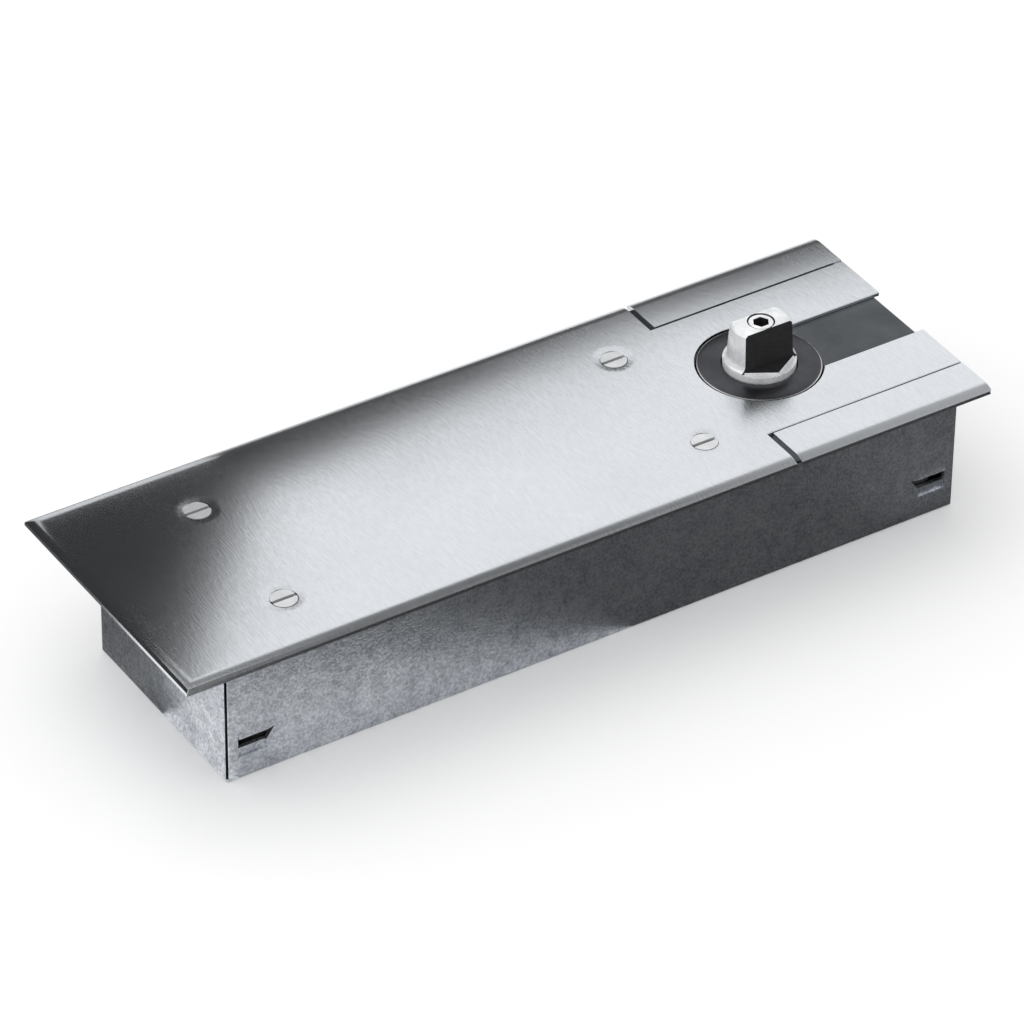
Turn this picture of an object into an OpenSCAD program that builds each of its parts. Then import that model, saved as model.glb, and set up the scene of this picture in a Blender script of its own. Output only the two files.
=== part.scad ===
// Floor spring door closer: a double-acting closer that is sunk in the floor under a swing door.
// The origin is on the spindle's axis at the underside of the cement box. +X runs towards the
// jamb end, +Z is up, and all lengths are in millimetres.

/* [Cement box] */
// Outside length of the box
box_l = 285; // [270:1:330]
// Outside width of the box
box_w = 82; // [80:1:100]
// Height of the box from its underside to its rim
box_h = 50; // [49.5:0.5:60]
// Thickness of its galvanised sheet
box_sheet = 1.5; // [1:0.1:2]
// Outside radius of its bends
box_bend_r = 1.6; // [1.6:0.1:3]
// Width of the open seam at each upright corner
seam_w = 0.9; // [0.4:0.1:2]
// From the spindle's axis to the jamb end of the box
spindle_setback = 53.5; // [51:0.5:62]

/* [Anchor lugs] */
// From the end of the box to a lug's upright cut
lug_from_end = 4.5; // [4:0.5:12]
// Length of a lug's pressed tab
tab_l = 10.4; // [8:0.2:14]
// Height of the tab
tab_h = 3.2; // [2.4:0.2:6]
// Height of the tab's lower edge above the underside
tab_z = 9.2; // [4:0.2:12]
// How far the tab is pressed in
tab_press = 0.7; // [0.4:0.1:1.2]
// Height of the slit over the tab
slit_h = 4.6; // [2:0.2:6]
// How far the slit runs on past the tab
slit_run = 3.2; // [2:0.2:8]
// Height of the hood over the slit
hood_h = 3.6; // [3:0.2:6]
// How far the hood stands out
hood_out = 0.8; // [0.5:0.1:2]

/* [Cover plate] */
// Thickness of the stainless sheet
cover_sheet = 1.5; // [1.2:0.1:2]
// From the rim of the box up to the top of the cover
cover_rise = 4.5; // [4.4:0.1:8]
// How far the cover reaches past the far end of the box
overhang_far = 20; // [8:0.5:30]
// How far it reaches past the jamb end of the box
overhang_jamb = 4.6; // [2:0.2:12]
// How far it reaches past each long side
overhang_side = 11.5; // [8:0.5:20]
// Width of the rolled edge
roll_w = 4.5; // [3:0.1:6]
// Outside radius of the rolled edge
roll_r = 8.5; // [7.5:0.1:12]
// From the top of the cover down to the edge of its roll
edge_drop = 2.6; // [2.2:0.1:3.2]
// Width of the slot that lets the door's strap in
slot_w = 25.6; // [20:0.2:28]
// Radius of the round cut-out about the spindle
cutout_r = 21.9; // [21.6:0.1:23]

/* [Cover strips] */
// Length of the recess for each strip, from the jamb end
strip_l = 78.7; // [60:0.5:85]
// Width of each strip
strip_w = 16.9; // [12:0.1:20]
// Gap between a strip and the cover, along its length
strip_gap = 0.7; // [0.3:0.1:1.5]
// Gap at the strip's inner end
strip_end_gap = 2; // [0.5:0.1:4]
// Radius of the strip's free corner
strip_corner_r = 0.6; // [0.4:0.2:4]

/* [Carrier plate] */
// Thickness of the dark plate under the strips
carrier_sheet = 1.5; // [1:0.1:2]
// How far its edges stay back from the cover's
carrier_inset = 2; // [1.5:0.1:4]

/* [Cover screws] */
// From the spindle's axis to the far pair of screws
screw_far = 201.5; // [195:0.5:203]
// From the spindle's axis to the near pair
screw_near = 40.4; // [34:0.2:44]
// From screw to screw across the cover
screw_span = 54.8; // [50:0.2:56]
// Diameter of the slotted head
head_d = 9.2; // [7:0.1:10]
// Radius of the thread
thread_r = 2.5; // [2:0.1:3]
// Width of the driver slot
driver_slot_w = 1.2; // [0.8:0.1:1.6]
// Radius of the dimple round each head
dimple_r = 8; // [6:0.1:9]
// Depth of the dimple
dimple_depth = 0.45; // [0.2:0.05:0.7]

/* [Spindle] */
// Radius of the spindle where it carries the cam
spindle_r = 9; // [8.5:0.1:9.5]
// Radius of the lower journal
journal_lo_r = 8; // [7:0.1:8.4]
// Radius of the upper journal
journal_up_r = 10; // [9.6:0.1:10.4]
// Radius of the round head that shows above the floor
spindle_head_r = 12.5; // [11.5:0.1:13]
// How far the head stands above the bearing cap
head_rise = 2; // [1:0.1:6]

/* [Spindle insert] */
// Height of the tapered block above its collar
insert_h = 14.6; // [12:0.2:40]
// Radius of the block's rounded ends at the top
insert_top_r = 10.5; // [9:0.1:10.6]
// Radius of the rounded ends above the flared foot
insert_foot_r = 11.1; // [10.6:0.1:11.4]
// Chamfer round the block's top
insert_chamfer = 0.8; // [0.3:0.1:1.2]
// Thickness between the two flats at the top
insert_top_t = 9.5; // [8:0.1:10]
// Thickness between the two flats at the foot
insert_foot_t = 11.5; // [10.5:0.1:13]
// Height of the flared foot
flare_h = 3.2; // [2.5:0.1:5]
// Width across the flats of the hexagonal collar
collar_af = 20; // [18:0.1:21.4]
// Height of the hexagonal collar
collar_h = 0.6; // [0.3:0.1:1.5]
// Width across the flats of the shank that plugs into the spindle
shank_af = 13; // [12:0.1:14]
// Length of that shank
shank_l = 12; // [8:0.5:14]

/* [Heart cam] */
// Largest opening of the door to either side, in degrees
open_angle = 130; // [90:5:130]
// Rise of the cam for each radian that the door turns
cam_rise = 5.5; // [4:0.1:5.5]
// Thickness of the cam
cam_t = 11; // [8:0.5:12]
// Least metal between the spindle and the roller's seat
cam_web = 2.5; // [2:0.1:3.5]

/* [Slide carriage] */
// Radius of the two rollers
roller_r = 8; // [7:0.1:8.5]
// Radius of the pins
pin_r = 3.5; // [2.5:0.1:4]
// Thickness of each slide plate
plate_t = 4; // [3:0.1:5]
// Half the width of each slide plate
plate_half_w = 15; // [14:0.5:18]
// Radius of the piston rod
rod_r = 5; // [4.5:0.1:6]

/* [Cylinder] */
// Radius of the cylinder's bore
bore_r = 16; // [15:0.1:16.4]
// Wall round the bore
bore_wall = 5; // [4:0.1:5.2]
// Length of the piston
piston_l = 18; // [16:0.5:24]
// Oil space in front of the piston with the door closed
oil_gap = 14; // [12:0.5:20]
// Length of the threaded end plug
plug_l = 12; // [8:0.5:14]
// Thickness of the wall between the spring and the cam
partition_l = 13; // [10:0.5:16]

/* [Main spring] */
// Diameter of the spring's wire
wire_d = 6; // [4:0.1:6.4]
// Number of coils
spring_coils = 10; // [7:1:11]

/* [Closer body] */
// Height of the body above the floor of the box
body_lift = 2.5; // [2:0.1:4]
// Room between the body and each long side of the box
body_side_gap = 1.6; // [1.3:0.1:3]
// Room between the body and the jamb end of the box
body_jamb_gap = 4.5; // [3:0.1:6]
// Room between the body and the far end of the box
body_far_gap = 8; // [4:0.5:12]
// Thickness of the lid
lid_t = 6; // [5:0.1:7]
// Thickness of the gasket under the lid
gasket_t = 0.8; // [0.4:0.1:1.2]
// Radius of the posts under the cover screws
post_r = 5.5; // [5:0.1:6.5]

/* [Valves] */
// Radius of the valve screws
valve_r = 4; // [3:0.1:4.4]
// Length of a valve's threaded part
valve_l = 13; // [10:0.5:15]
// Last piston travel that only the latching valve lets through
latch_travel = 1.8; // [1:0.1:4]

/* [Clearances] */
// Radial clearance of a running fit
run_gap = 0.04; // [0.02:0.01:0.08]
// Gap between a roller and the cam
roller_gap = 0.3; // [0.2:0.05:0.5]
// Gap over and under the cam and the rollers
side_gap = 0.5; // [0.3:0.1:1]
// Gap round the bearing cap
cap_gap = 0.6; // [0.3:0.1:1]
// Room between moving parts and the cast walls
chamber_gap = 1.2; // [0.8:0.1:1.6]
// Gap of a seated or threaded joint between fixed parts
seat_gap = 0.02; // [0.01:0.01:0.05]

/* [Hidden] */
$fn = 64;

EPS = 0.01;                                   // how far a cutter runs past a face
THROUGH = 400;                                // longer than anything that a cutter crosses

// Box and cover
box_x0 = spindle_setback - box_l;             // far end of the box
box_x1 = spindle_setback;                     // jamb end of the box
cover_x0 = box_x0 - overhang_far;
cover_x1 = box_x1 + overhang_jamb;
cover_half_w = box_w / 2 + overhang_side;
cover_top = box_h + cover_rise;
cover_under = cover_top - cover_sheet;        // underside of the cover's flat sheet
carrier_under = cover_under - carrier_sheet;
strip_x0 = cover_x1 - strip_l;                // where the recess for the strips starts
strip_y0 = cover_half_w - strip_w;            // inner edge of a strip
carrier_x0 = -screw_near - 2 * post_r;
carrier_x1 = cover_x1 - carrier_inset;
edge_z = cover_top - edge_drop;

// Heights inside the body. The lid's raised ring is level with the box's rim, the cam and the
// carriage lie halfway between the two bearings, and the bearings fill what is left.
body_z0 = box_sheet + body_lift;
chamber_floor = 4;                            // cast floor under the cam chamber
chamber_z0 = body_z0 + chamber_floor;
pocket_floor = 3;                             // cast floor under the lower bearing
pocket_z0 = body_z0 + pocket_floor;
washer_t = 1;
lid_rim_h = 2;                                // raised ring that the bearing cap stands on
lid_rim_z = box_h;
lid_z1 = lid_rim_z - lid_rim_h;
lid_z0 = lid_z1 - lid_t;
seal_h = 4;
seal_sunk = 0.5;                              // from the raised ring down to the seal
seal_z1 = lid_rim_z - seal_sunk;
bearing_lo_z0 = pocket_z0 + washer_t;
bearing_up_z1 = seal_z1 - seal_h;
axis_z = (bearing_lo_z0 + bearing_up_z1) / 2; // height of the cylinder's axis
cam_z0 = axis_z - cam_t / 2;
cam_z1 = axis_z + cam_t / 2;
plate_lo_z1 = cam_z0 - side_gap;
plate_lo_z0 = plate_lo_z1 - plate_t;
plate_up_z0 = cam_z1 + side_gap;
plate_up_z1 = plate_up_z0 + plate_t;
plate_gap = 1;                                // between a slide plate and a bearing's boss
bearing_lo_z1 = plate_lo_z0 - plate_gap;
lid_boss_z0 = plate_up_z1 + plate_gap;
bearing_ledge = 0.5;                          // lip of the lid's boss under the upper bearing
bearing_up_z0 = lid_boss_z0 + bearing_ledge;

// Bearings and seal
needle_r = 1.25;
shell_t = 1.6;                                // wall of a bearing's shell
lip_t = 0.8;                                  // inturned lip of a bearing's shell
function needle_ring_r(journal_r) = journal_r + run_gap + needle_r;
function shell_in_r(journal_r) = needle_ring_r(journal_r) + needle_r + run_gap;
function shell_out_r(journal_r) = shell_in_r(journal_r) + shell_t;
seal_r = shell_out_r(journal_up_r) + 0.8;
lid_boss_r = seal_r + 3.5;
lower_boss_r = shell_out_r(journal_lo_r) + 4;
cap_r = cutout_r - cap_gap;
cap_top = cover_top + 0.3;                    // the cap is crowned just above the cover
head_top = cap_top + head_rise;
insert_top = head_top + insert_h;

// Cam and carriage: the roller's centre rises cam_rise for each radian that the cam turns
cam_gap_r = roller_r + roller_gap;
cam_r0 = spindle_r + cam_web + cam_gap_r;     // from the spindle to the seated roller's pin
cam_r180 = cam_r0 + cam_rise * PI;            // the same on the opposite side
cam_tip_r = cam_r180 - cam_gap_r / cos(atan(cam_rise / cam_r180));
stroke = cam_rise * open_angle * PI / 180;    // travel of the carriage
power_x = cam_r0;
return_x = -cam_r180;
eye_wall = 3.5;                               // metal round a pin
eye_r = pin_r + eye_wall;
crosshead_gap = 1;                            // between the return roller and the rod's eye
crosshead_x = return_x - roller_r - eye_r - crosshead_gap;
plate_x0 = crosshead_x - eye_r;

// Closer body
chamber_x0 = plate_x0 - chamber_gap;
chamber_x1 = power_x + stroke + max(roller_r, eye_r) + chamber_gap;
chamber_half_w = cam_tip_r + chamber_gap;
chamber_corner_r = 14;
body_corner_r = 5;
body_x0 = box_x0 + box_sheet + body_far_gap;
body_x1 = box_x1 - box_sheet - body_jamb_gap;
body_half_w = box_w / 2 - box_sheet - body_side_gap;
partition_x0 = chamber_x0 - partition_l;
cylinder_r = bore_r + bore_wall;
plug_x1 = body_x0 + plug_l;
piston_x0 = plug_x1 + oil_gap;
piston_x1 = piston_x0 + piston_l;
seat_t = 2;                                   // spring seat against the partition
seat_x0 = partition_x0 - seat_t;
bush_r = rod_r + 2.5;                         // outside radius of the rod's bush
flange_h = 4;                                 // base flange along the cylinder
flange_half_w = 31;
level_r = 4;                                  // levelling set screws
level_l = 15;
level_inset = 6.5;
level_boss_r = 6.5;
level_y = body_half_w - level_boss_r - 0.3;
lid_x0 = partition_x0 + 1;
support_r = 4.5;                              // pads of the lid under the carrier plate
support_x = body_x1 - 4 * support_r;

// Valves and their oil ways
valve_y = bore_r + bore_wall + 0.6;
valve_x = piston_x0 + 6;
valve_block_half_w = valve_y + valve_r + 2.5;
valve_top = lid_z0;
valve_z0 = valve_top - valve_l;               // foot of the threaded part
needle_l = 6;                                 // from the foot of the thread to the port
needle_well_r = 2.2;
needle_stem_r = 1.6;
valve_port_z = valve_z0 - needle_l + 1;
port_r = 1;
return_port_x = piston_x1 + stroke + 6;       // always behind the piston
return_port_z = valve_z0 - 1.2;
valve_block_x1 = return_port_x + 4;
valve_ring_r = 0.7;                           // section of a valve's sealing ring
valve_ring_z = valve_z0 + 3;

// Piston, its check valve and the sealing rings
rod_step = 1;                                 // shoulder that the piston bears on
rod_tip_r = rod_r - rod_step;                 // the rod's thinner end, inside the piston
piston_nut_l = 5;
piston_ring_x = piston_x1 - 5;
plug_ring_x = plug_x1 - 3;
ring_r = 1.25;                                // section of the sealing rings
ball_r = 2;
ball_seat_r = 1.2;
ball_bore_r = ball_r + 0.4;
ball_cage_l = 6.5;                            // length of the ball's bore
retainer_l = 1.5;
ball_z = axis_z + (bore_r - 2 * ring_r + rod_tip_r) / 2 + 1;
ball_x = piston_x0 + ball_cage_l - sqrt(ball_r * ball_r - ball_seat_r * ball_seat_r) - 0.1;

// Main spring: its end coils lie close and are ground flat
spring_end_gap = 0.2;
spring_x0 = piston_x1 + spring_end_gap;
spring_x1 = seat_x0 - spring_end_gap;
spring_r = bore_r - 0.4 - wire_d / 2;         // radius of the wire's centre line
coil_steps = 20;                              // steps of the wire's path in each coil
wire_sides = 8;

// Screws, plugs and the key
hole_gap = 0.2;                               // radial gap of a through hole round its screw
socket_over = 10;                             // how far a socket's cutter runs past the head
cover_screw_l = 11;                           // from the top of its head to its tip
side_wall = body_half_w - chamber_half_w;     // cast wall beside the cam chamber
lid_screw_r = side_wall / 4;                  // the lid's screws stand in that wall
lid_screw_head_r = 1.7 * lid_screw_r;
lid_screw_head_h = 1.1 * lid_screw_r;
lid_screw_l = 9;                              // length below the lid
lid_screw_y = chamber_half_w + side_wall / 2;
filler_r = 3;
filler_head_r = 5;
filler_head_h = 2.4;
fixing_r = 3;
fixing_head_r = 5;
fixing_head_h = 6;
fixing_nut_h = 2.2;
key_w = 4;
key_h = 4;
insert_screw_r = 3;
insert_screw_l = 24;                          // depth of its thread below the head's top
insert_screw_head_r = 4.2;
insert_screw_head_h = 5;
insert_screw_sunk = 0.2;                      // its head lies this far below the insert's top
insert_screw_z = insert_top - insert_screw_sunk - insert_screw_head_h;

// Places that several nodes share
cover_screw_places = [for (x = [-screw_far, -screw_near], y = [-1, 1]) [x, y * screw_span / 2]];
level_places = [for (x = [body_x0 + level_boss_r, body_x1 - level_inset], y = [-1, 1])
                [x, y * level_y]];
fixing_places = [for (y = [-1, 1]) [(valve_block_x1 + partition_x0) / 2, y * (flange_half_w - 6)]];
lid_screw_places = [for (x = [chamber_x0 + 5, chamber_x0 / 3, chamber_x1 / 2.6], y = [-1, 1])
                    [x, y * lid_screw_y],
                    for (y = [-1, 1]) [(lid_x0 + chamber_x0) / 2, y * chamber_half_w / 2]];
roller_places = [[power_x, 0], [return_x, 0]];

// Anchor lugs
slit_z0 = tab_z + tab_h;
slit_z1 = slit_z0 + slit_h;

// ---- general shapes ----

// A cylinder that lies along X
module rod_x(r, x0, x1, y = 0, z = axis_z) {
    translate([x0, y, z]) rotate([0, 90, 0]) cylinder(r = r, h = x1 - x0);
}

// A cylinder that lies along Y
module rod_y(r, x, y0, y1, z) {
    translate([x, y0, z]) rotate([-90, 0, 0]) cylinder(r = r, h = y1 - y0);
}

// A block with four round upright corners
module slab(x0, x1, half_w, r, z0, z1) {
    translate([0, 0, z0]) linear_extrude(z1 - z0) {
        translate([x0 + r, -half_w]) square([x1 - x0 - 2 * r, 2 * half_w]);
        translate([x0, r - half_w]) square([x1 - x0, 2 * (half_w - r)]);
        for (x = [x0 + r, x1 - r], y = [r - half_w, half_w - r]) translate([x, y]) circle(r);
    }
}

module hex(af, h) {
    cylinder(r = af / sqrt(3), h = h, $fn = 6);
}

module tube(r_out, r_in, z0, z1) {
    translate([0, 0, z0]) difference() {
        cylinder(r = r_out, h = z1 - z0);
        translate([0, 0, -EPS]) cylinder(r = r_in, h = z1 - z0 + 2 * EPS);
    }
}

// Both sides of the object's long axis
module both_sides() {
    children();
    mirror([0, 1, 0]) children();
}

module at(points) {
    for (p = points) translate([p[0], p[1], 0]) children();
}

// ---- cement box ----

// A block with round lower edges and round upright corners
module tray_block(x0, x1, half_w, z0, z1, r) {
    intersection() {
        slab(x0, x1, half_w, r, z0, z1);
        union() {
            translate([x0 + r, -half_w, z0]) cube([x1 - x0 - 2 * r, 2 * half_w, z1 - z0]);
            translate([x0, -half_w, z0 + r]) cube([x1 - x0, 2 * half_w, z1 - z0 - r]);
            for (x = [x0 + r, x1 - r]) rod_y(r, x, -half_w, half_w, z0 + r);
        }
        union() {
            translate([x0, r - half_w, z0]) cube([x1 - x0, 2 * (half_w - r), z1 - z0]);
            translate([x0, -half_w, z0 + r]) cube([x1 - x0, 2 * half_w, z1 - z0 - r]);
            for (y = [r - half_w, half_w - r]) rod_x(r, x0, x1, y, z0 + r);
        }
    }
}

// The space that a lug's hood fills: it stands out over the slit and closes towards the middle.
// Here x runs from the upright cut, y runs outwards from the wall's outer face.
module hood_block(out) {
    run = tab_l + slit_run;
    intersection() {
        translate([0, 0, slit_z1]) linear_extrude(hood_h)
            polygon([[0, -box_sheet], [0, out], [tab_l, out], [run, 0], [run, -box_sheet]]);
        rotate([90, 0, 90]) linear_extrude(run)
            polygon([[-box_sheet, slit_z1], [out, slit_z1], [0, slit_z1 + hood_h],
                     [-box_sheet, slit_z1 + hood_h]]);
    }
}

// What a lug takes out of the wall: the slit, the window behind the hood and the tab's window
module lug_cut() {
    rotate([90, 0, 0]) translate([0, 0, -EPS]) linear_extrude(box_sheet + 2 * EPS)
        polygon([[0, tab_z], [tab_l, tab_z], [tab_l, slit_z0], [tab_l + slit_run, slit_z1],
                 [tab_l + slit_run, slit_z1 + EPS], [tab_l, slit_z1 + hood_h],
                 [0, slit_z1 + hood_h]]);
}

// What a lug puts back: the pressed tab and the hood
module lug_fill() {
    translate([0, -box_sheet - tab_press, tab_z]) cube([tab_l, box_sheet, tab_h]);
    difference() {
        hood_block(hood_out);
        translate([-EPS, -box_sheet, -EPS]) hood_block(hood_out);
    }
}

// The four lugs, one near each end of both long sides
module at_lugs() {
    for (side = [0, 1], end = [0, 1])
        mirror([0, 1 - side, 0]) translate([0, box_w / 2, 0])
            if (end == 0) translate([box_x0 + lug_from_end, 0, 0]) children();
            else translate([box_x1 - lug_from_end, 0, 0]) mirror([1, 0, 0]) children();
}

// The open seam at one upright corner, along the line that halves the corner
module corner_seam() {
    translate([0, 0, box_bend_r]) rotate(45)
        translate([-2 * box_bend_r, -seam_w / 2, 0]) cube([4 * box_bend_r, seam_w, box_h]);
}

module cement_box() {
    inner_bend_r = box_bend_r - box_sheet + 0.3;
    corner_y = box_w / 2 - box_bend_r;        // centre of an upright bend
    color("#8f959b") {
        difference() {
            tray_block(box_x0, box_x1, box_w / 2, 0, box_h, box_bend_r);
            tray_block(box_x0 + box_sheet, box_x1 - box_sheet, box_w / 2 - box_sheet,
                       box_sheet, box_h + box_bend_r, inner_bend_r);
            both_sides() {
                translate([box_x0 + box_bend_r, -corner_y, 0]) corner_seam();
                translate([box_x1 - box_bend_r, -corner_y, 0]) mirror([1, 0, 0]) corner_seam();
            }
            at_lugs() lug_cut();
        }
        at_lugs() lug_fill();
    }
}

// ---- cover ----

// The space under a rolled sheet's upper face. inset is how far below the cover's own upper
// face it lies; the rolls of all layers share one centre line.
module rolled_space(x0, x1, half_w, z0, inset, far_roll) {
    top = cover_top - inset;
    r = roll_r - inset;
    roll_y = cover_half_w - roll_w;
    roll_x = cover_x0 + roll_w;
    intersection() {
        union() {
            translate([x0, -roll_y, z0]) cube([x1 - x0, 2 * roll_y, top - z0]);
            for (y = [-roll_y, roll_y]) rod_x(r, x0, x1, y, cover_top - roll_r);
        }
        translate([x0, -half_w, z0]) cube([x1 - x0, 2 * half_w, top - z0 + EPS]);
        if (far_roll) union() {
            translate([roll_x, -half_w, z0]) cube([x1 - roll_x, 2 * half_w, top - z0]);
            rod_y(r, roll_x, -half_w, half_w, cover_top - roll_r);
        }
    }
}

// A rolled sheet between x0 and x1
module rolled_sheet(x0, x1, half_w, z0, inset, sheet, far_roll) {
    difference() {
        rolled_space(x0, x1, half_w, z0, inset, far_roll);
        rolled_space(x0 - 1, x1 + 1, half_w + 1, z0 - 1, inset + sheet, far_roll);
    }
}

// The slot for the door's strap and the round cut-out about the spindle
module strap_opening(r, half_w) {
    cylinder(r = r, h = THROUGH, center = true);
    translate([0, -half_w, -THROUGH / 2]) cube([THROUGH, 2 * half_w, THROUGH]);
}

// A countersunk screw's space, wider by gap; its head lies at the bottom of the dimple
module cover_screw_space(gap, length) {
    head_z = cover_top - dimple_depth;
    head_r = head_d / 2 + gap;
    cone_h = 0.9 * (head_r - thread_r - gap);
    translate([0, 0, head_z - cone_h]) cylinder(r1 = thread_r + gap, r2 = head_r, h = cone_h);
    translate([0, 0, head_z - length]) cylinder(r = thread_r + gap, h = length - cone_h + EPS);
}

module cover_screw_holes() {
    at(cover_screw_places) cover_screw_space(hole_gap / 2, cover_screw_l + 1);
}

module cover_plate() {
    color("#c9ccd0") difference() {
        rolled_sheet(cover_x0, cover_x1, cover_half_w, edge_z, 0, cover_sheet, true);
        both_sides() translate([strip_x0, strip_y0 - strip_gap, 0]) cube(THROUGH);
        strap_opening(cutout_r, slot_w / 2);
        cover_screw_holes();
        at(cover_screw_places) translate([0, 0, cover_top - dimple_depth])
            cylinder(r1 = (head_d + hole_gap) / 2, r2 = dimple_r, h = dimple_depth + EPS);
    }
}

// One strip on the +Y side
module cover_strip() {
    x0 = strip_x0 + strip_end_gap;
    r = strip_corner_r;
    intersection() {
        rolled_sheet(x0, cover_x1, cover_half_w, edge_z, 0, cover_sheet, false);
        union() {
            translate([x0, strip_y0, 0]) cube([cover_x1 - r - x0, strip_w, THROUGH]);
            translate([x0, strip_y0, 0]) cube([cover_x1 - x0, strip_w - r, THROUGH]);
            translate([cover_x1 - r, cover_half_w - r, 0]) cylinder(r = r, h = THROUGH);
        }
    }
}

module cover_strip_rear() {
    color("#b9bdc2") cover_strip();
}

module cover_strip_front() {
    color("#b9bdc2") mirror([0, 1, 0]) cover_strip();
}

module carrier_plate() {
    color("#45494c") difference() {
        rolled_sheet(carrier_x0, carrier_x1, cover_half_w - carrier_inset, edge_z - 0.5,
                     cover_sheet, carrier_sheet, false);
        cylinder(r = cutout_r - cap_gap / 2, h = THROUGH, center = true);
        cover_screw_holes();
    }
}

module cover_screws() {
    head_z = cover_top - dimple_depth;
    color("#d4d6d9") at(cover_screw_places) difference() {
        cover_screw_space(0, cover_screw_l);
        translate([-head_d, -driver_slot_w / 2, head_z - 1])
            cube([2 * head_d, driver_slot_w, 2]);
    }
}

// ---- closer body ----

// Carries the chamber, the cylinder and everything screwed to the body
module body_casting() {
    slab(partition_x0, body_x1, body_half_w, body_corner_r, body_z0, lid_z0 - gasket_t);
    rod_x(cylinder_r, body_x0, partition_x0 + EPS);
    translate([body_x0, -valve_block_half_w, body_z0])
        cube([valve_block_x1 - body_x0, 2 * valve_block_half_w, valve_top - body_z0]);
    translate([body_x0, -flange_half_w, body_z0])
        cube([partition_x0 - body_x0 + EPS, 2 * flange_half_w, flange_h]);
    both_sides() {
        translate([-screw_far, screw_span / 2, body_z0])
            cylinder(r = post_r, h = cover_under - body_z0);
        translate([body_x0 + level_boss_r, level_y, body_z0])
            cylinder(r = level_boss_r, h = 2 * flange_h);
    }
}

module chamber_space() {
    slab(chamber_x0, chamber_x1, chamber_half_w, chamber_corner_r, chamber_z0, lid_z0 + 1);
    slab(chamber_x0, 0, chamber_half_w, body_corner_r, chamber_z0, lid_z0 + 1);
}

// One valve's bore, its needle seat and its oil ways, on the +Y side.
// inlet_x is where its port meets the cylinder in front of the piston.
module valve_ways(inlet_x) {
    translate([valve_x, valve_y, valve_z0]) cylinder(r = valve_r + run_gap, h = THROUGH);
    translate([valve_x, valve_y, valve_port_z]) cylinder(r = needle_well_r, h = THROUGH);
    rod_y(port_r, inlet_x, bore_r - 2, valve_y, valve_port_z);
    rod_x(port_r, min(inlet_x, valve_x), max(inlet_x, valve_x) + EPS, valve_y, valve_port_z);
    rod_x(port_r, valve_x, return_port_x, valve_y, return_port_z);
    rod_y(port_r, return_port_x, bore_r - 4, valve_y, return_port_z);
}

module closer_body() {
    color("#5d6063") difference() {
        union() {
            difference() {
                body_casting();
                chamber_space();
            }
            translate([0, 0, body_z0]) cylinder(r = lower_boss_r, h = bearing_lo_z1 - body_z0);
        }
        rod_x(bore_r, body_x0 - 1, partition_x0);
        rod_x(bush_r, partition_x0 - 1, chamber_x0 + 1);
        translate([0, 0, pocket_z0])
            cylinder(r = shell_out_r(journal_lo_r) + seat_gap, h = THROUGH);
        valve_ways(piston_x0 - 5);
        mirror([0, 1, 0]) valve_ways(piston_x0 + latch_travel);
        at(level_places) cylinder(r = level_r + seat_gap, h = THROUGH);
        at(fixing_places) cylinder(r = fixing_r + hole_gap, h = THROUGH);
        at(lid_screw_places) translate([0, 0, lid_z0 - lid_screw_l - 1])
            cylinder(r = lid_screw_r + seat_gap, h = THROUGH);
        cover_screw_holes();
    }
}

module body_lid() {
    color("#6a6d70") difference() {
        union() {
            slab(lid_x0, body_x1, body_half_w, body_corner_r, lid_z0, lid_z1);
            translate([0, 0, lid_boss_z0]) cylinder(r = lid_boss_r, h = lid_rim_z - lid_boss_z0);
            both_sides() {
                translate([-screw_near, screw_span / 2, lid_z1])
                    cylinder(r = post_r, h = carrier_under - lid_z1);
                translate([support_x, screw_span / 2, lid_z1])
                    cylinder(r = support_r, h = carrier_under - lid_z1);
            }
        }
        translate([0, 0, lid_boss_z0 - 1]) cylinder(r = journal_up_r + 1, h = THROUGH);
        translate([0, 0, bearing_up_z0])
            cylinder(r = shell_out_r(journal_up_r) + seat_gap, h = THROUGH);
        translate([0, 0, bearing_up_z1]) cylinder(r = seal_r + seat_gap, h = THROUGH);
        at(level_places) cylinder(r = level_r + 2 * hole_gap, h = THROUGH);
        at(lid_screw_places) cylinder(r = lid_screw_r + hole_gap, h = THROUGH);
        translate([crosshead_x, 0, 0]) cylinder(r = filler_r + seat_gap, h = THROUGH);
        cover_screw_holes();
    }
}

module lid_gasket() {
    color("#3a3f3a") difference() {
        slab(lid_x0, body_x1, body_half_w, body_corner_r, lid_z0 - gasket_t, lid_z0);
        chamber_space();
        at(level_places) cylinder(r = level_r + 2 * hole_gap, h = THROUGH);
        at(lid_screw_places) cylinder(r = lid_screw_r + hole_gap, h = THROUGH);
    }
}

module lid_screws() {
    color("#8b8d8f") at(lid_screw_places) {
        difference() {
            union() {
                translate([0, 0, lid_z0 - lid_screw_l])
                    cylinder(r = lid_screw_r, h = lid_screw_l + lid_t + EPS);
                translate([0, 0, lid_z1]) cylinder(r = lid_screw_head_r, h = lid_screw_head_h);
            }
            translate([0, 0, lid_z1 + lid_screw_head_h / 4]) hex(1.25 * lid_screw_r, socket_over);
        }
    }
}

module filler_plug() {
    color("#8b8d8f") translate([crosshead_x, 0, 0]) difference() {
        union() {
            translate([0, 0, lid_z0 + 0.5]) cylinder(r = filler_r, h = lid_t);
            translate([0, 0, lid_z1]) cylinder(r = filler_head_r, h = filler_head_h);
        }
        translate([0, 0, lid_z1 - 1]) hex(filler_r, socket_over);
    }
}

// ---- bearings, seal and cap ----

module bearing_shell(journal_r, z0, z1) {
    r = shell_out_r(journal_r);
    difference() {
        tube(r, shell_in_r(journal_r) - 2 * needle_r + 0.6, z0, z1);
        translate([0, 0, z0 + lip_t]) cylinder(r = shell_in_r(journal_r), h = z1 - z0 - 2 * lip_t);
    }
}

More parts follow.
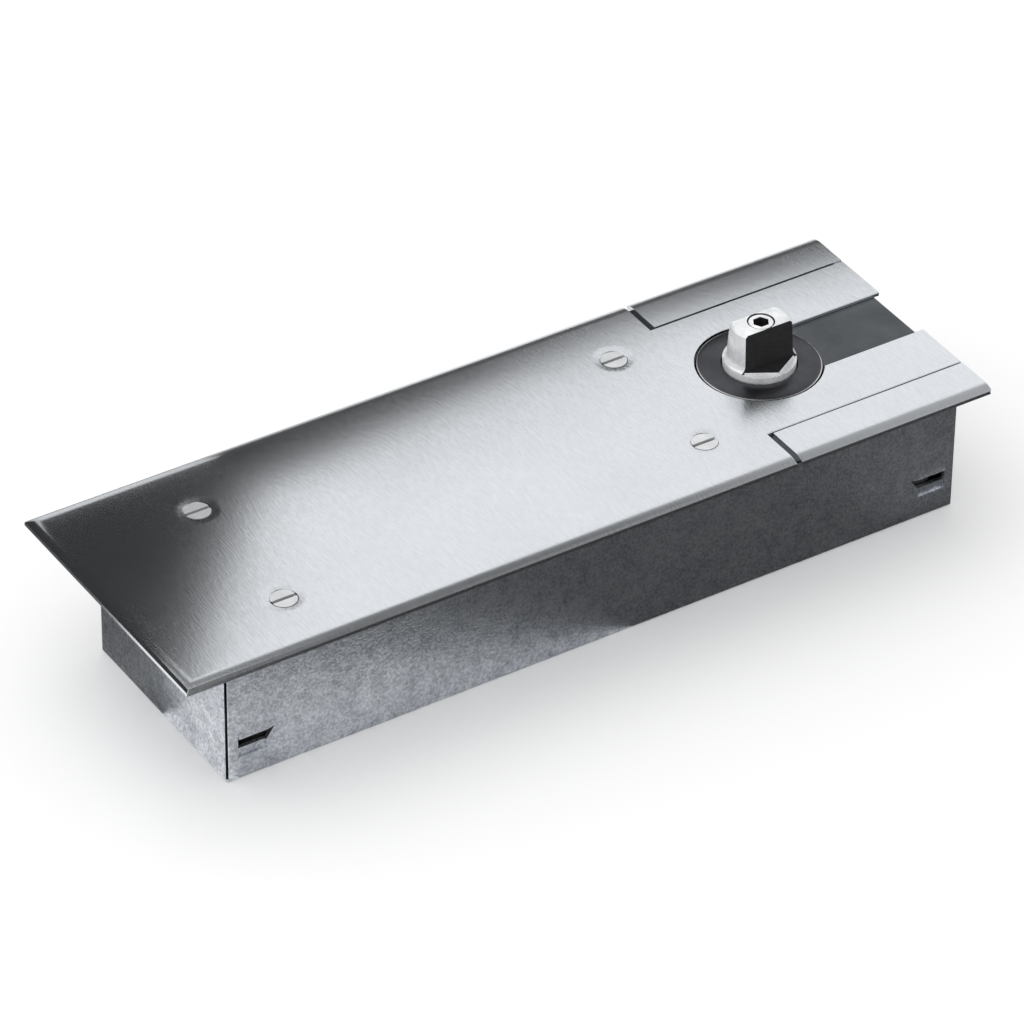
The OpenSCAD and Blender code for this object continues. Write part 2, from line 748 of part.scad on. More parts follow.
module needles(journal_r, z0, z1) {
    ring_r = needle_ring_r(journal_r);
    count = floor(180 / asin((needle_r + 0.15) / ring_r));
    for (i = [0 : count - 1]) rotate(i * 360 / count) translate([ring_r, 0, z0 + lip_t + 0.1])
        cylinder(r = needle_r, h = z1 - z0 - 2 * lip_t - 0.2);
}

module upper_bearing_shell() {
    color("#a5a7aa") bearing_shell(journal_up_r, bearing_up_z0, bearing_up_z1);
}

module upper_needles() {
    color("#c0c2c4") needles(journal_up_r, bearing_up_z0, bearing_up_z1);
}

module lower_bearing_shell() {
    color("#a5a7aa") bearing_shell(journal_lo_r, bearing_lo_z0, bearing_lo_z1);
}

module lower_needles() {
    color("#c0c2c4") needles(journal_lo_r, bearing_lo_z0, bearing_lo_z1);
}

module thrust_washer() {
    color("#b08d57") translate([0, 0, pocket_z0])
        cylinder(r = shell_out_r(journal_lo_r) - 0.1, h = washer_t);
}

// A lip seal: an outer ring, a web and an inner lip round the spindle
module shaft_seal() {
    lip_r = journal_up_r + run_gap;
    color("#1e1f20") rotate_extrude() polygon([
        [lip_r, bearing_up_z1 + 0.6], [seal_r - 1.5, bearing_up_z1 + 0.6],
        [seal_r - 1.5, bearing_up_z1], [seal_r, bearing_up_z1], [seal_r, seal_z1],
        [lip_r + 1.5, seal_z1], [lip_r + 1.5, seal_z1 - 1], [lip_r, seal_z1 - 1.6]]);
}

// The dark disc that shows round the spindle
module bearing_cap() {
    in_r = spindle_head_r + 0.4;
    crown_h = 0.6;
    rim_z = cap_top - crown_h;
    color("#2b2e30") rotate_extrude() polygon([
        [in_r, lid_rim_z], [cap_r, lid_rim_z], [cap_r, rim_z - 0.5], [cap_r - 0.5, rim_z],
        [cap_r - 3, rim_z + 0.6 * crown_h], [cap_r - 6, rim_z + 0.92 * crown_h],
        [in_r + 0.3, cap_top], [in_r, cap_top - 0.3]]);
}

// ---- spindle ----

module spindle() {
    color("#8e9093") difference() {
        union() {
            translate([0, 0, bearing_lo_z0 + run_gap])
                cylinder(r = journal_lo_r, h = cam_z0 - bearing_lo_z0 - run_gap);
            translate([0, 0, plate_lo_z0 - 0.5])
                cylinder(r = spindle_r, h = plate_up_z1 + 1 - plate_lo_z0);
            translate([0, 0, plate_up_z1]) cylinder(r = journal_up_r, h = lid_rim_z - plate_up_z1);
            translate([0, 0, seal_z1 + 0.3]) cylinder(r = spindle_head_r, h = head_top - seal_z1 - 0.3);
        }
        translate([0, 0, head_top - shank_l - 0.5]) hex(shank_af + hole_gap, THROUGH);
        translate([0, 0, head_top - insert_screw_l]) cylinder(r = insert_screw_r + seat_gap, h = THROUGH);
        translate([-spindle_r - 1, -key_w / 2 - seat_gap, cam_z0 - seat_gap])
            cube([1 + key_h / 2 + seat_gap, key_w + 2 * seat_gap, cam_t + 2 * seat_gap]);
    }
}

// Half the insert's outline: the foot flares out to the head's rim in a concave arc, which is
// tangent to the block's side
module insert_profile() {
    rim_r = spindle_head_r - 0.1;
    rim_h = 0.5;
    flare_run = rim_r - insert_foot_r;
    arc_r = (pow(flare_run, 2) + pow(flare_h - rim_h, 2)) / (2 * flare_run);
    difference() {
        polygon([[0, 0], [rim_r, 0], [rim_r, flare_h], [insert_foot_r, flare_h],
                 [insert_top_r, insert_h - insert_chamfer],
                 [insert_top_r - insert_chamfer, insert_h], [0, insert_h]]);
        translate([insert_foot_r + arc_r, flare_h]) circle(arc_r);
    }
}

// The exchangeable block that the door's bottom strap grips: a cone between two leaning flats,
// with a flared foot on a hexagonal collar
module spindle_insert() {
    color("#b4b6b8") difference() {
        union() {
            translate([0, 0, head_top]) intersection() {
                rotate_extrude() insert_profile();
                rotate([90, 0, 90]) translate([0, 0, -THROUGH / 2]) linear_extrude(THROUGH)
                    polygon([[-insert_foot_t / 2, 0], [insert_foot_t / 2, 0],
                             [insert_top_t / 2, insert_h], [-insert_top_t / 2, insert_h]]);
            }
            translate([0, 0, head_top]) rotate(30) hex(collar_af, collar_h);
            translate([0, 0, head_top - shank_l]) hex(shank_af, shank_l + EPS);
        }
        translate([0, 0, head_top - shank_l - 1])
            cylinder(r = insert_screw_r + hole_gap, h = THROUGH);
        translate([0, 0, insert_screw_z])
            cylinder(r = insert_screw_head_r + hole_gap, h = THROUGH);
    }
}

module insert_screw() {
    z0 = head_top - insert_screw_l + 1;
    socket_depth = 0.64 * insert_screw_head_h;
    color("#9c9ea0") difference() {
        union() {
            translate([0, 0, z0]) cylinder(r = insert_screw_r, h = insert_screw_z - z0 + EPS);
            translate([0, 0, insert_screw_z])
                cylinder(r = insert_screw_head_r, h = insert_screw_head_h);
        }
        translate([0, 0, insert_screw_z + insert_screw_head_h - socket_depth])
            hex(5, socket_over);
    }
}

// A point of the cam's outline: the path of the roller's centre, moved inwards by the roller's
// radius and gap. a is in degrees from the notch.
function cam_point(a) =
    let (r = cam_r0 + cam_rise * a * PI / 180, n = norm([r, cam_rise]))
    [r * cos(a) - cam_gap_r * (cam_rise * sin(a) + r * cos(a)) / n,
     r * sin(a) - cam_gap_r * (r * sin(a) - cam_rise * cos(a)) / n];

module heart_cam() {
    half = [for (a = [0 : 4 : 176]) cam_point(a)];
    color("#a0a3a6") difference() {
        translate([0, 0, cam_z0]) linear_extrude(cam_t) polygon(concat(
            half, [[-cam_tip_r, 0]],
            [for (i = [len(half) - 1 : -1 : 0]) [half[i][0], -half[i][1]]]));
        translate([power_x, 0, 0]) cylinder(r = cam_gap_r, h = THROUGH);
        cylinder(r = spindle_r + seat_gap, h = THROUGH);
        translate([-spindle_r - key_h / 2 - seat_gap, -key_w / 2 - seat_gap, 0])
            cube([key_h, key_w + 2 * seat_gap, THROUGH]);
    }
}

module cam_key() {
    color("#707275") translate([-spindle_r - key_h / 2, -key_w / 2, cam_z0])
        cube([key_h, key_w, cam_t]);
}

// ---- slide carriage ----

module slide_plate(z0) {
    color("#94979a") translate([0, 0, z0]) difference() {
        linear_extrude(plate_t) difference() {
            union() {
                translate([crosshead_x, -eye_r]) square([power_x - crosshead_x, 2 * eye_r]);
                for (x = [crosshead_x, power_x]) translate([x, 0]) circle(eye_r);
                translate([return_x, -plate_half_w]) square([-return_x, 2 * plate_half_w]);
                translate([return_x, 0]) circle(plate_half_w);
                circle(plate_half_w);
            }
            // the spindle's slot, which clears it over the whole stroke
            for (x = [-stroke, 0]) translate([x, 0]) circle(spindle_r + side_gap);
            translate([-stroke, -spindle_r - side_gap])
                square([stroke, 2 * (spindle_r + side_gap)]);
            for (x = [crosshead_x, return_x, power_x]) translate([x, 0]) circle(pin_r + seat_gap);
        }
    }
}

module slide_plate_upper() {
    slide_plate(plate_up_z0);
}

module slide_plate_lower() {
    slide_plate(plate_lo_z0);
}

// A headless pin through both plates
module plate_pin() {
    proud = 0.4;
    translate([0, 0, plate_lo_z0 - proud])
        cylinder(r = pin_r, h = plate_up_z1 - plate_lo_z0 + 2 * proud);
}

module roller_pins() {
    color("#b9bbbd") at(roller_places) plate_pin();
}

module crosshead_pin() {
    color("#b9bbbd") translate([crosshead_x, 0, 0]) plate_pin();
}

module roller() {
    difference() {
        translate([0, 0, cam_z0]) cylinder(r = roller_r, h = cam_t);
        cylinder(r = pin_r + run_gap, h = THROUGH);
    }
}

module power_roller() {
    color("#c4c6c8") translate([power_x, 0, 0]) roller();
}

module return_roller() {
    color("#c4c6c8") translate([return_x, 0, 0]) roller();
}

// The rod's far end carries the piston; its near end is an eye on a tongue between the plates
module piston_rod() {
    tongue_h = plate_up_z0 - plate_lo_z1 - 2 * run_gap;
    color("#aaacae") difference() {
        union() {
            rod_x(rod_r, piston_x1, chamber_x0);
            rod_x(rod_tip_r, piston_x0 - piston_nut_l - rod_step, piston_x1 + EPS);
            intersection() {
                union() {
                    rod_x(rod_r, chamber_x0 - EPS, crosshead_x);
                    translate([crosshead_x, 0, 0]) cylinder(r = eye_r, h = THROUGH);
                }
                translate([chamber_x0 - EPS, -eye_r, axis_z - tongue_h / 2])
                    cube([crosshead_x + eye_r - chamber_x0, 2 * eye_r, tongue_h]);
            }
        }
        translate([crosshead_x, 0, 0]) cylinder(r = pin_r + seat_gap, h = THROUGH);
    }
}

// ---- piston ----

// A sealing ring about the cylinder's axis, which stays within r
module ring_x(r, x) {
    translate([x, 0, axis_z]) rotate([0, 90, 0]) rotate_extrude()
        translate([r - ring_r, 0]) circle(ring_r, $fn = 24);
}

// The groove for such a ring in a plug of radius r
module ring_groove(r, x) {
    difference() {
        rod_x(r + 1, x - ring_r - 0.2, x + ring_r + 0.2);
        rod_x(r - 2 * ring_r - 0.05, x - ring_r - 1, x + ring_r + 1);
    }
}

module piston() {
    color("#9ea1a4") difference() {
        rod_x(bore_r - run_gap, piston_x0, piston_x1);
        rod_x(rod_tip_r + seat_gap, piston_x0 - 1, piston_x1 + 1);
        ring_groove(bore_r - run_gap, piston_ring_x);
        rod_x(ball_seat_r, piston_x0, piston_x1 + 1, 0, ball_z);
        rod_x(ball_bore_r, piston_x0 - 1, piston_x0 + ball_cage_l, 0, ball_z);
    }
}

module piston_seal() {
    color("#1b1c1d") ring_x(bore_r - run_gap, piston_ring_x);
}

module piston_nut() {
    color("#8b8d8f") difference() {
        translate([piston_x0 - piston_nut_l, 0, axis_z]) rotate([0, 90, 0])
            hex(2.8 * rod_tip_r, piston_nut_l);
        rod_x(rod_tip_r + seat_gap, piston_x0 - piston_nut_l - 1, piston_x0 + 1);
    }
}

module check_ball() {
    color("#d0d2d4") translate([ball_x, 0, ball_z]) sphere(ball_r, $fn = 48);
}

module check_ball_retainer() {
    color("#b08d57") difference() {
        rod_x(ball_bore_r - seat_gap, piston_x0, piston_x0 + retainer_l, 0, ball_z);
        rod_x(ball_seat_r, piston_x0 - 1, piston_x0 + retainer_l + 1, 0, ball_z);
    }
}

// ---- cylinder fittings ----

module spring_seat() {
    color("#8b8d8f") difference() {
        rod_x(bore_r - 0.2, seat_x0, partition_x0);
        rod_x(rod_r + 0.3, seat_x0 - 1, partition_x0 + 1);
    }
}

module rod_bush() {
    color("#b08d57") difference() {
        rod_x(bush_r - seat_gap, partition_x0, chamber_x0);
        rod_x(rod_r + run_gap, partition_x0 - 1, chamber_x0 + 1);
    }
}

module end_plug() {
    color("#8b8d8f") difference() {
        rod_x(bore_r - seat_gap, body_x0, plug_x1);
        ring_groove(bore_r - seat_gap, plug_ring_x);
        translate([body_x0 - 1, 0, axis_z]) rotate([0, 90, 0]) hex(12, 1 + plug_l / 2);
    }
}

module plug_ring() {
    color("#1b1c1d") ring_x(bore_r - 2 * seat_gap, plug_ring_x);
}

// How far along the spring the wire's centre is after t of its whole number of turns: the first
// and last turn advance little more than the wire's own thickness
function coil_x(t) =
    let (closed = wire_d + 0.3, span = spring_x1 - spring_x0,
         open = (span - 2 * closed) / (spring_coils - 2))
    t < 1 ? closed * t
          : t > spring_coils - 1 ? span - closed * (spring_coils - t)
                                 : closed + open * (t - 1);

function coil_ring(t) =
    [for (j = [0 : wire_sides - 1])
        let (b = 360 * j / wire_sides, r = spring_r + wire_d / 2 * cos(b))
        [spring_x0 + coil_x(t) + wire_d / 2 * sin(b), r * cos(360 * t),
         axis_z + r * sin(360 * t)]];

module main_spring() {
    rings = spring_coils * coil_steps;
    points = [for (i = [0 : rings]) each coil_ring(i / coil_steps)];
    color("#5b5f66") intersection() {
        polyhedron(points, concat(
            [[for (j = [0 : wire_sides - 1]) j]],
            [for (i = [0 : rings - 1], j = [0 : wire_sides - 1])
                let (k = (j + 1) % wire_sides)
                [i * wire_sides + k, i * wire_sides + j,
                 (i + 1) * wire_sides + j, (i + 1) * wire_sides + k]],
            [[for (j = [wire_sides - 1 : -1 : 0]) rings * wire_sides + j]]), convexity = 20);
        translate([spring_x0, -bore_r, axis_z - bore_r])
            cube([spring_x1 - spring_x0, 2 * bore_r, 2 * bore_r]);
    }
}

// ---- levelling and fixing ----

module levelling_screws() {
    color("#8b8d8f") at(level_places) difference() {
        translate([0, 0, box_sheet]) cylinder(r = level_r, h = level_l);
        translate([0, 0, box_sheet + level_l - level_r]) hex(level_r, socket_over);
    }
}

module fixing_screws() {
    z0 = box_sheet + 0.2;
    head_z = body_z0 + flange_h;
    color("#8b8d8f") at(fixing_places) difference() {
        union() {
            translate([0, 0, z0]) cylinder(r = fixing_r, h = head_z - z0 + EPS);
            translate([0, 0, head_z]) cylinder(r = fixing_head_r, h = fixing_head_h);
        }
        translate([0, 0, head_z + fixing_head_h / 2]) hex(fixing_head_r, socket_over);
    }
}

module fixing_nuts() {
    color("#9ea1a4") at(fixing_places) translate([0, 0, box_sheet]) difference() {
        hex(2 * fixing_head_r, fixing_nut_h);
        translate([0, 0, -1]) cylinder(r = fixing_r + seat_gap, h = fixing_nut_h + 2);
    }
}

// ---- valves ----

// A needle valve's screw on the +Y side, with a slotted top and a sealing ring's groove
module valve_screw() {
    tip_r = 0.6;
    slot_depth = 1.5;
    translate([valve_x, valve_y, 0]) difference() {
        union() {
            translate([0, 0, valve_z0]) cylinder(r = valve_r, h = valve_l);
            translate([0, 0, valve_z0 - needle_l / 2])
                cylinder(r = needle_stem_r, h = needle_l / 2 + EPS);
            translate([0, 0, valve_z0 - 0.75 * needle_l])
                cylinder(r1 = tip_r, r2 = needle_stem_r, h = needle_l / 4 + EPS);
        }
        tube(valve_r + 1, valve_r - 2 * valve_ring_r - 0.05, valve_ring_z - valve_ring_r - 0.1,
             valve_ring_z + valve_ring_r + 0.1);
        translate([-2 * valve_r, -driver_slot_w / 2, valve_top - slot_depth])
            cube([4 * valve_r, driver_slot_w, 2 * slot_depth]);
    }
}

module valve_ring() {
    translate([valve_x, valve_y, valve_ring_z]) rotate_extrude()
        translate([valve_r - valve_ring_r, 0]) circle(valve_ring_r, $fn = 24);
}

module latching_valve() {
    color("#c9a24b") valve_screw();
}

module latching_valve_ring() {
    color("#1b1c1d") valve_ring();
}

module closing_valve() {
    color("#c9a24b") mirror([0, 1, 0]) valve_screw();
}

module closing_valve_ring() {
    color("#1b1c1d") mirror([0, 1, 0]) valve_ring();
}

cement_box();
closer_body();
body_lid();
lid_gasket();
lid_screws();
bearing_cap();
shaft_seal();
upper_bearing_shell();
upper_needles();
lower_bearing_shell();
lower_needles();
thrust_washer();
spring_seat();
rod_bush();
end_plug();
plug_ring();
filler_plug();
cover_plate();
cover_strip_front();
cover_strip_rear();
carrier_plate();
cover_screws();
levelling_screws();
fixing_screws();
fixing_nuts();
spindle();
spindle_insert();
insert_screw();
heart_cam();
cam_key();
slide_plate_upper();
slide_plate_lower();
roller_pins();
crosshead_pin();
piston_rod();
piston();
piston_seal();
piston_nut();
check_ball_retainer();
power_roller();
return_roller();
check_ball();
main_spring();
closing_valve();
closing_valve_ring();
latching_valve();
latching_valve_ring();
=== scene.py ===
# %% [markdown]
# # A floor spring door closer, dressed in Blender
# This lesson takes the finished CAD model of a floor spring and gives it the surfaces that the real
# one has: brushed stainless on top, dark plates round the spindle, a satin insert, and a cement box
# of galvanised sheet. The CAD model is the fixed frame. Every new piece is measured from it, so
# nothing has to be fitted by eye.

# %% Load the frame
import math
import bmesh
import bpy
from mathutils import Matrix, Vector


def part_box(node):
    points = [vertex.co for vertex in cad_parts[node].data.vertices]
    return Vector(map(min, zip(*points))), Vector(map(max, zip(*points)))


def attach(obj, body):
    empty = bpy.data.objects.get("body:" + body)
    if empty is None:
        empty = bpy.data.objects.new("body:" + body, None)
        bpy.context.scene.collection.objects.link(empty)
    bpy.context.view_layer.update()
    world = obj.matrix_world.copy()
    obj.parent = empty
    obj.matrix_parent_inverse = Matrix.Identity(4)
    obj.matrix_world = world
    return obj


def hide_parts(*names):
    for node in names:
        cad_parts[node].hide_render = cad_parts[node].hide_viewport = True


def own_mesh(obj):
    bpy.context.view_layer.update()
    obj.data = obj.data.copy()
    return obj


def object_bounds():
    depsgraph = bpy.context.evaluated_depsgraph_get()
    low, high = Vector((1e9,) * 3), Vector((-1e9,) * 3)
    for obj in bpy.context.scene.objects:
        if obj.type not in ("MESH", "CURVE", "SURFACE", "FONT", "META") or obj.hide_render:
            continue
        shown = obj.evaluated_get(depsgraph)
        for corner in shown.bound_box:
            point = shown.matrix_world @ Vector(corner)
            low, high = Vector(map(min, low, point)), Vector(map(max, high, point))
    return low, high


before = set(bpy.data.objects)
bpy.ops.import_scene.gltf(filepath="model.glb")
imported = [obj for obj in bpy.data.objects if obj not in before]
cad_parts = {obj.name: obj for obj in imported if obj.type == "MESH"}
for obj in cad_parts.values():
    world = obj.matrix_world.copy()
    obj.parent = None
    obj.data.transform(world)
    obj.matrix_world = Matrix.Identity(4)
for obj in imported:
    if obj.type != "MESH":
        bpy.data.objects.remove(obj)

cad_box = [list(corner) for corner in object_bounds()]
print("nodes:", len(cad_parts), "box:", cad_box)

# %% [markdown]
# ## Places and lengths
# Blender works in metres, and a floor spring is easier to think of in millimetres, so `MM` turns
# one into the other. A few heights and radii come straight from the CAD nodes' boxes. If the CAD
# model grows, the pieces that are built from these values grow with it.

# %% Lengths that several pieces share
MM = 0.001
cover_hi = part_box("cover_plate")[1]
cap_lo, cap_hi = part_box("bearing_cap")
insert_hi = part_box("spindle_insert")[1]
screw_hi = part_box("insert_screw")[1]
spindle_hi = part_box("spindle")[1]
print("cover top %.1f mm, cap top %.1f mm, spindle head %.1f mm, insert top %.1f mm" % tuple(
    z / MM for z in (cover_hi[2], cap_hi[2], spindle_hi[2], insert_hi[2])))

# %% [markdown]
# ## Small helpers for meshes
# Each piece is shaped in a bmesh, which is Blender's mesh-editing workbench, and then handed over
# to an object. `put` does the handing over: it recalculates the normals, names the object, gives
# it a finish, lets it ride on a moving body of the CAD model and hides the node that it stands for.
# Edges that turn by more than a third of a right angle stay sharp, and a Weighted Normal modifier
# keeps large flat faces flat where they meet a small rounded edge.

# %% Hand a finished bmesh to an object
finishes = {}
sharp_turn = 30                                # degrees


def put(name, bm, body, slot, replaces):
    bmesh.ops.recalc_face_normals(bm, faces=bm.faces)
    mesh = bpy.data.meshes.new(name)
    bm.to_mesh(mesh)
    bm.free()
    for face in mesh.polygons:
        face.use_smooth = True
    mesh.set_sharp_from_angle(angle=math.radians(sharp_turn))
    piece = bpy.data.objects.new(name, mesh)
    bpy.context.scene.collection.objects.link(piece)
    piece.modifiers.new("Flat faces stay flat", "WEIGHTED_NORMAL").keep_sharp = True
    piece.data.materials.append(finishes[slot])
    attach(piece, body)
    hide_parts(replaces)
    print(name, "has", len(mesh.polygons), "faces")
    return piece


# %% [markdown]
# A folded or machined edge is never a perfect knife edge: it catches a thin line of light.
# `merged_copy` takes a CAD node's loose triangles, merges their doubles and joins the triangles of
# each flat face. `soften` then bevels only the edges that turn sharply. Copying the CAD shape is
# the right way here, because these pieces carry holes and slots that have to stay exactly where
# they are.

# %% Soften the edges of a copied CAD node
same_point = 0.002 * MM
still_flat = 0.4                               # degrees


def merged_copy(node):
    bm = bmesh.new()
    bm.from_mesh(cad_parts[node].data)
    bmesh.ops.remove_doubles(bm, verts=bm.verts, dist=same_point)
    bmesh.ops.dissolve_limit(bm, angle_limit=math.radians(still_flat), verts=bm.verts,
                             edges=bm.edges)
    return bm


def soften(bm, width, turn=35.0, only=None, segments=2):
    """Bevels the edges that turn by more than turn degrees, width millimetres wide."""
    edges = [e for e in bm.edges
             if len(e.link_faces) == 2 and math.degrees(e.calc_face_angle(0.0)) > turn
             and (only is None or only(e))]
    bmesh.ops.bevel(bm, geom=edges, offset=width * MM, offset_type="OFFSET", affect="EDGES",
                    segments=segments, profile=0.5, material=-1, clamp_overlap=True)
    return len(edges)


# %% [markdown]
# ## Shared effects as node groups
# Three effects turn up on many of the metals, so each is built once as a node group. `Brush lines`
# stretches noise into fine lines that run across the cover. `Clouds` is a slow change of tone, as
# handling and rolling leave on sheet. `Spangle` is the flake pattern of hot-dip zinc. A group takes
# a vector and its scales, and puts out plain values.

# %% Helpers that start a node group
def new_group(name, inputs, outputs):
    group = bpy.data.node_groups.new(name, "ShaderNodeTree")
    for label, kind, value in inputs:
        socket = group.interface.new_socket(label, in_out="INPUT", socket_type=kind)
        if value is not None:
            socket.default_value = value
    for label in outputs:
        group.interface.new_socket(label, in_out="OUTPUT", socket_type="NodeSocketFloat")
    start = group.nodes.new("NodeGroupInput")
    end = group.nodes.new("NodeGroupOutput")
    return group, start, end


def scaled_vector(group, start, sockets):
    combine = group.nodes.new("ShaderNodeCombineXYZ")
    for axis, label in zip("XYZ", sockets):
        group.links.new(start.outputs[label], combine.inputs[axis])
    scale = group.nodes.new("ShaderNodeVectorMath")
    scale.operation = "MULTIPLY"
    group.links.new(start.outputs["Vector"], scale.inputs[0])
    group.links.new(combine.outputs[0], scale.inputs[1])
    return scale.outputs[0]


def noise(group, vector, scale, detail, roughness=0.5):
    node = group.nodes.new("ShaderNodeTexNoise")
    node.inputs["Scale"].default_value = scale
    node.inputs["Detail"].default_value = detail
    node.inputs["Roughness"].default_value = roughness
    group.links.new(vector, node.inputs["Vector"])
    return node.outputs["Fac"]


def spread(group, value, low, high, to_low=0.0, to_high=1.0):
    node = group.nodes.new("ShaderNodeMapRange")
    for label, number in (("From Min", low), ("From Max", high),
                          ("To Min", to_low), ("To Max", to_high)):
        node.inputs[label].default_value = number
    group.links.new(value, node.inputs["Value"])
    return node.outputs["Result"]


# %% Brush lines
def make_brush_lines():
    group, start, end = new_group(
        "Brush lines",
        [("Vector", "NodeSocketVector", None), ("Across X", "NodeSocketFloat", 2600.0),
         ("Along Y", "NodeSocketFloat", 60.0), ("Across Z", "NodeSocketFloat", 2600.0)],
        ["Line"])
    vector = scaled_vector(group, start, ("Across X", "Along Y", "Across Z"))
    line = spread(group, noise(group, vector, 1.0, 2.0, 0.4), 0.3, 0.7)
    group.links.new(line, end.inputs["Line"])
    return group


brush_lines = make_brush_lines()
print("group:", brush_lines.name)

# %% Clouds
def make_clouds():
    group, start, end = new_group(
        "Clouds",
        [("Vector", "NodeSocketVector", None), ("Scale", "NodeSocketFloat", 20.0)],
        ["Cloud", "Grit"])
    vector = scaled_vector(group, start, ("Scale", "Scale", "Scale"))
    cloud = spread(group, noise(group, vector, 1.0, 3.0, 0.55), 0.35, 0.65)
    grit = spread(group, noise(group, vector, 34.0, 3.0, 0.6), 0.35, 0.65)
    group.links.new(cloud, end.inputs["Cloud"])
    group.links.new(grit, end.inputs["Grit"])
    return group


clouds = make_clouds()
print("group:", clouds.name)

# %% Spangle
def make_spangle():
    group, start, end = new_group(
        "Spangle",
        [("Vector", "NodeSocketVector", None), ("Flakes", "NodeSocketFloat", 420.0)],
        ["Flake", "Speck"])
    vector = scaled_vector(group, start, ("Flakes", "Flakes", "Flakes"))
    ragged = group.nodes.new("ShaderNodeTexNoise")
    ragged.inputs["Scale"].default_value = 2.2
    ragged.inputs["Detail"].default_value = 2.0
    group.links.new(vector, ragged.inputs["Vector"])
    push = group.nodes.new("ShaderNodeVectorMath")
    push.operation = "MULTIPLY_ADD"
    push.inputs[1].default_value = (1.4, 1.4, 1.4)
    group.links.new(ragged.outputs["Color"], push.inputs[0])
    group.links.new(vector, push.inputs[2])
    cells = group.nodes.new("ShaderNodeTexVoronoi")
    cells.inputs["Scale"].default_value = 1.0
    group.links.new(push.outputs[0], cells.inputs["Vector"])
    split = group.nodes.new("ShaderNodeSeparateColor")
    group.links.new(cells.outputs["Color"], split.inputs[0])
    speck = spread(group, noise(group, vector, 3.2, 2.0, 0.7), 0.36, 0.64)
    group.links.new(split.outputs[0], end.inputs["Flake"])
    group.links.new(speck, end.inputs["Speck"])
    return group


spangle = make_spangle()
print("group:", spangle.name)

# %% [markdown]
# ## Finishes
# A metal is mostly its roughness and what it reflects, so each finish is one Principled BSDF with
# full Metallic, a colour that moves a little between two tones, and a roughness that moves with it.
# `Workbench` keeps the wiring short: it places the groups in a material, mixes their values and
# links them to the shader's sockets. Numbers that are the same all over sit on the shader's own
# sockets. Every finish ends with a shallow relief, because no real surface is perfectly even.

# %% A workbench for one material
class Workbench:
    def __init__(self, name, metallic, roughness, **constants):
        self.name = name
        self.material = bpy.data.materials.new("finish_" + name)
        self.material.use_nodes = True
        self.tree = self.material.node_tree
        self.shader = self.tree.nodes["Principled BSDF"]
        self.shader.inputs["Metallic"].default_value = metallic
        self.shader.inputs["Roughness"].default_value = roughness
        for label, value in constants.items():
            self.shader.inputs[label.replace("_", " ")].default_value = value
        self.place = self.tree.nodes.new("ShaderNodeTexCoord").outputs["Object"]

    def group(self, tree, **values):
        node = self.tree.nodes.new("ShaderNodeGroup")
        node.node_tree = tree
        self.tree.links.new(self.place, node.inputs["Vector"])
        for label, value in values.items():
            node.inputs[label.replace("_", " ")].default_value = value
        return node.outputs

    def math(self, operation, a, b):
        node = self.tree.nodes.new("ShaderNodeMath")
        node.operation = operation
        for socket, value in zip(node.inputs, (a, b)):
            if isinstance(value, (int, float)):
                socket.default_value = value
            else:
                self.tree.links.new(value, socket)
        return node.outputs[0]

    def mix(self, *parts):
        """The sum of values that each come with their share."""
        total = None
        for value, share in parts:
            part = self.math("MULTIPLY", value, share)
            total = part if total is None else self.math("ADD", total, part)
        return total

    def blend(self, mask, low, high):
        """A value or a colour that moves from low to high as the mask goes from 0 to 1."""
        if isinstance(low, (int, float)):
            node = self.tree.nodes.new("ShaderNodeMapRange")
            node.inputs["To Min"].default_value = low
            node.inputs["To Max"].default_value = high
            self.tree.links.new(mask, node.inputs["Value"])
            return node.outputs["Result"]
        node = self.tree.nodes.new("ShaderNodeMix")
        node.data_type = "RGBA"
        node.inputs["A"].default_value = (*low, 1.0)
        node.inputs["B"].default_value = (*high, 1.0)
        self.tree.links.new(mask, node.inputs["Factor"])
        return node.outputs["Result"]

    def finish(self, colour, roughness, height, depth):
        """Links the values to the shader; depth is the relief's depth in millimetres."""
        self.tree.links.new(colour, self.shader.inputs["Base Color"])
        self.tree.links.new(roughness, self.shader.inputs["Roughness"])
        bump = self.tree.nodes.new("ShaderNodeBump")
        bump.inputs["Strength"].default_value = 1.0
        bump.inputs["Distance"].default_value = depth * MM
        self.tree.links.new(height, bump.inputs["Height"])
        self.tree.links.new(bump.outputs["Normal"], self.shader.inputs["Normal"])
        finishes[self.name] = self.material
        print("finish:", self.name)


# %% [markdown]
# ### Brushed stainless
# The cover is ground across its width with a belt, which leaves fine lines along Y, a few
# millimetres long and about half a millimetre apart. The lines show in three ways at once: a slight
# change of tone, a change of roughness and a shallow relief. The relief matters most, because it is
# what breaks a reflection's edge into streaks.

# %% Stainless
bench = Workbench("stainless", metallic=1.0, roughness=0.25)
lines = bench.group(brush_lines, Across_X=1800.0, Along_Y=300.0, Across_Z=300.0)
slow = bench.group(clouds, Scale=16.0)
tone = bench.mix((lines["Line"], 0.6), (slow["Cloud"], 0.4))
bench.finish(colour=bench.blend(tone, (0.735, 0.762, 0.795), (0.790, 0.818, 0.852)),
             roughness=bench.blend(tone, 0.28, 0.21), height=lines["Line"], depth=0.011)

# %% [markdown]
# ### Satin nickel for the cover's screws
# The four slotted screws aren't ground with the cover. They are plated satin, which is paler and
# more even than the brushed sheet round them, so they keep their brightness where the sheet falls
# dark.

# %% Satin screw
bench = Workbench("satin_screw", metallic=0.55, roughness=0.36)
slow = bench.group(clouds, Scale=160.0)
tone = bench.mix((slow["Cloud"], 0.6), (slow["Grit"], 0.4))
bench.finish(colour=bench.blend(tone, (0.72, 0.73, 0.74), (0.86, 0.87, 0.88)),
             roughness=bench.blend(tone, 0.42, 0.30), height=slow["Grit"], depth=0.003)

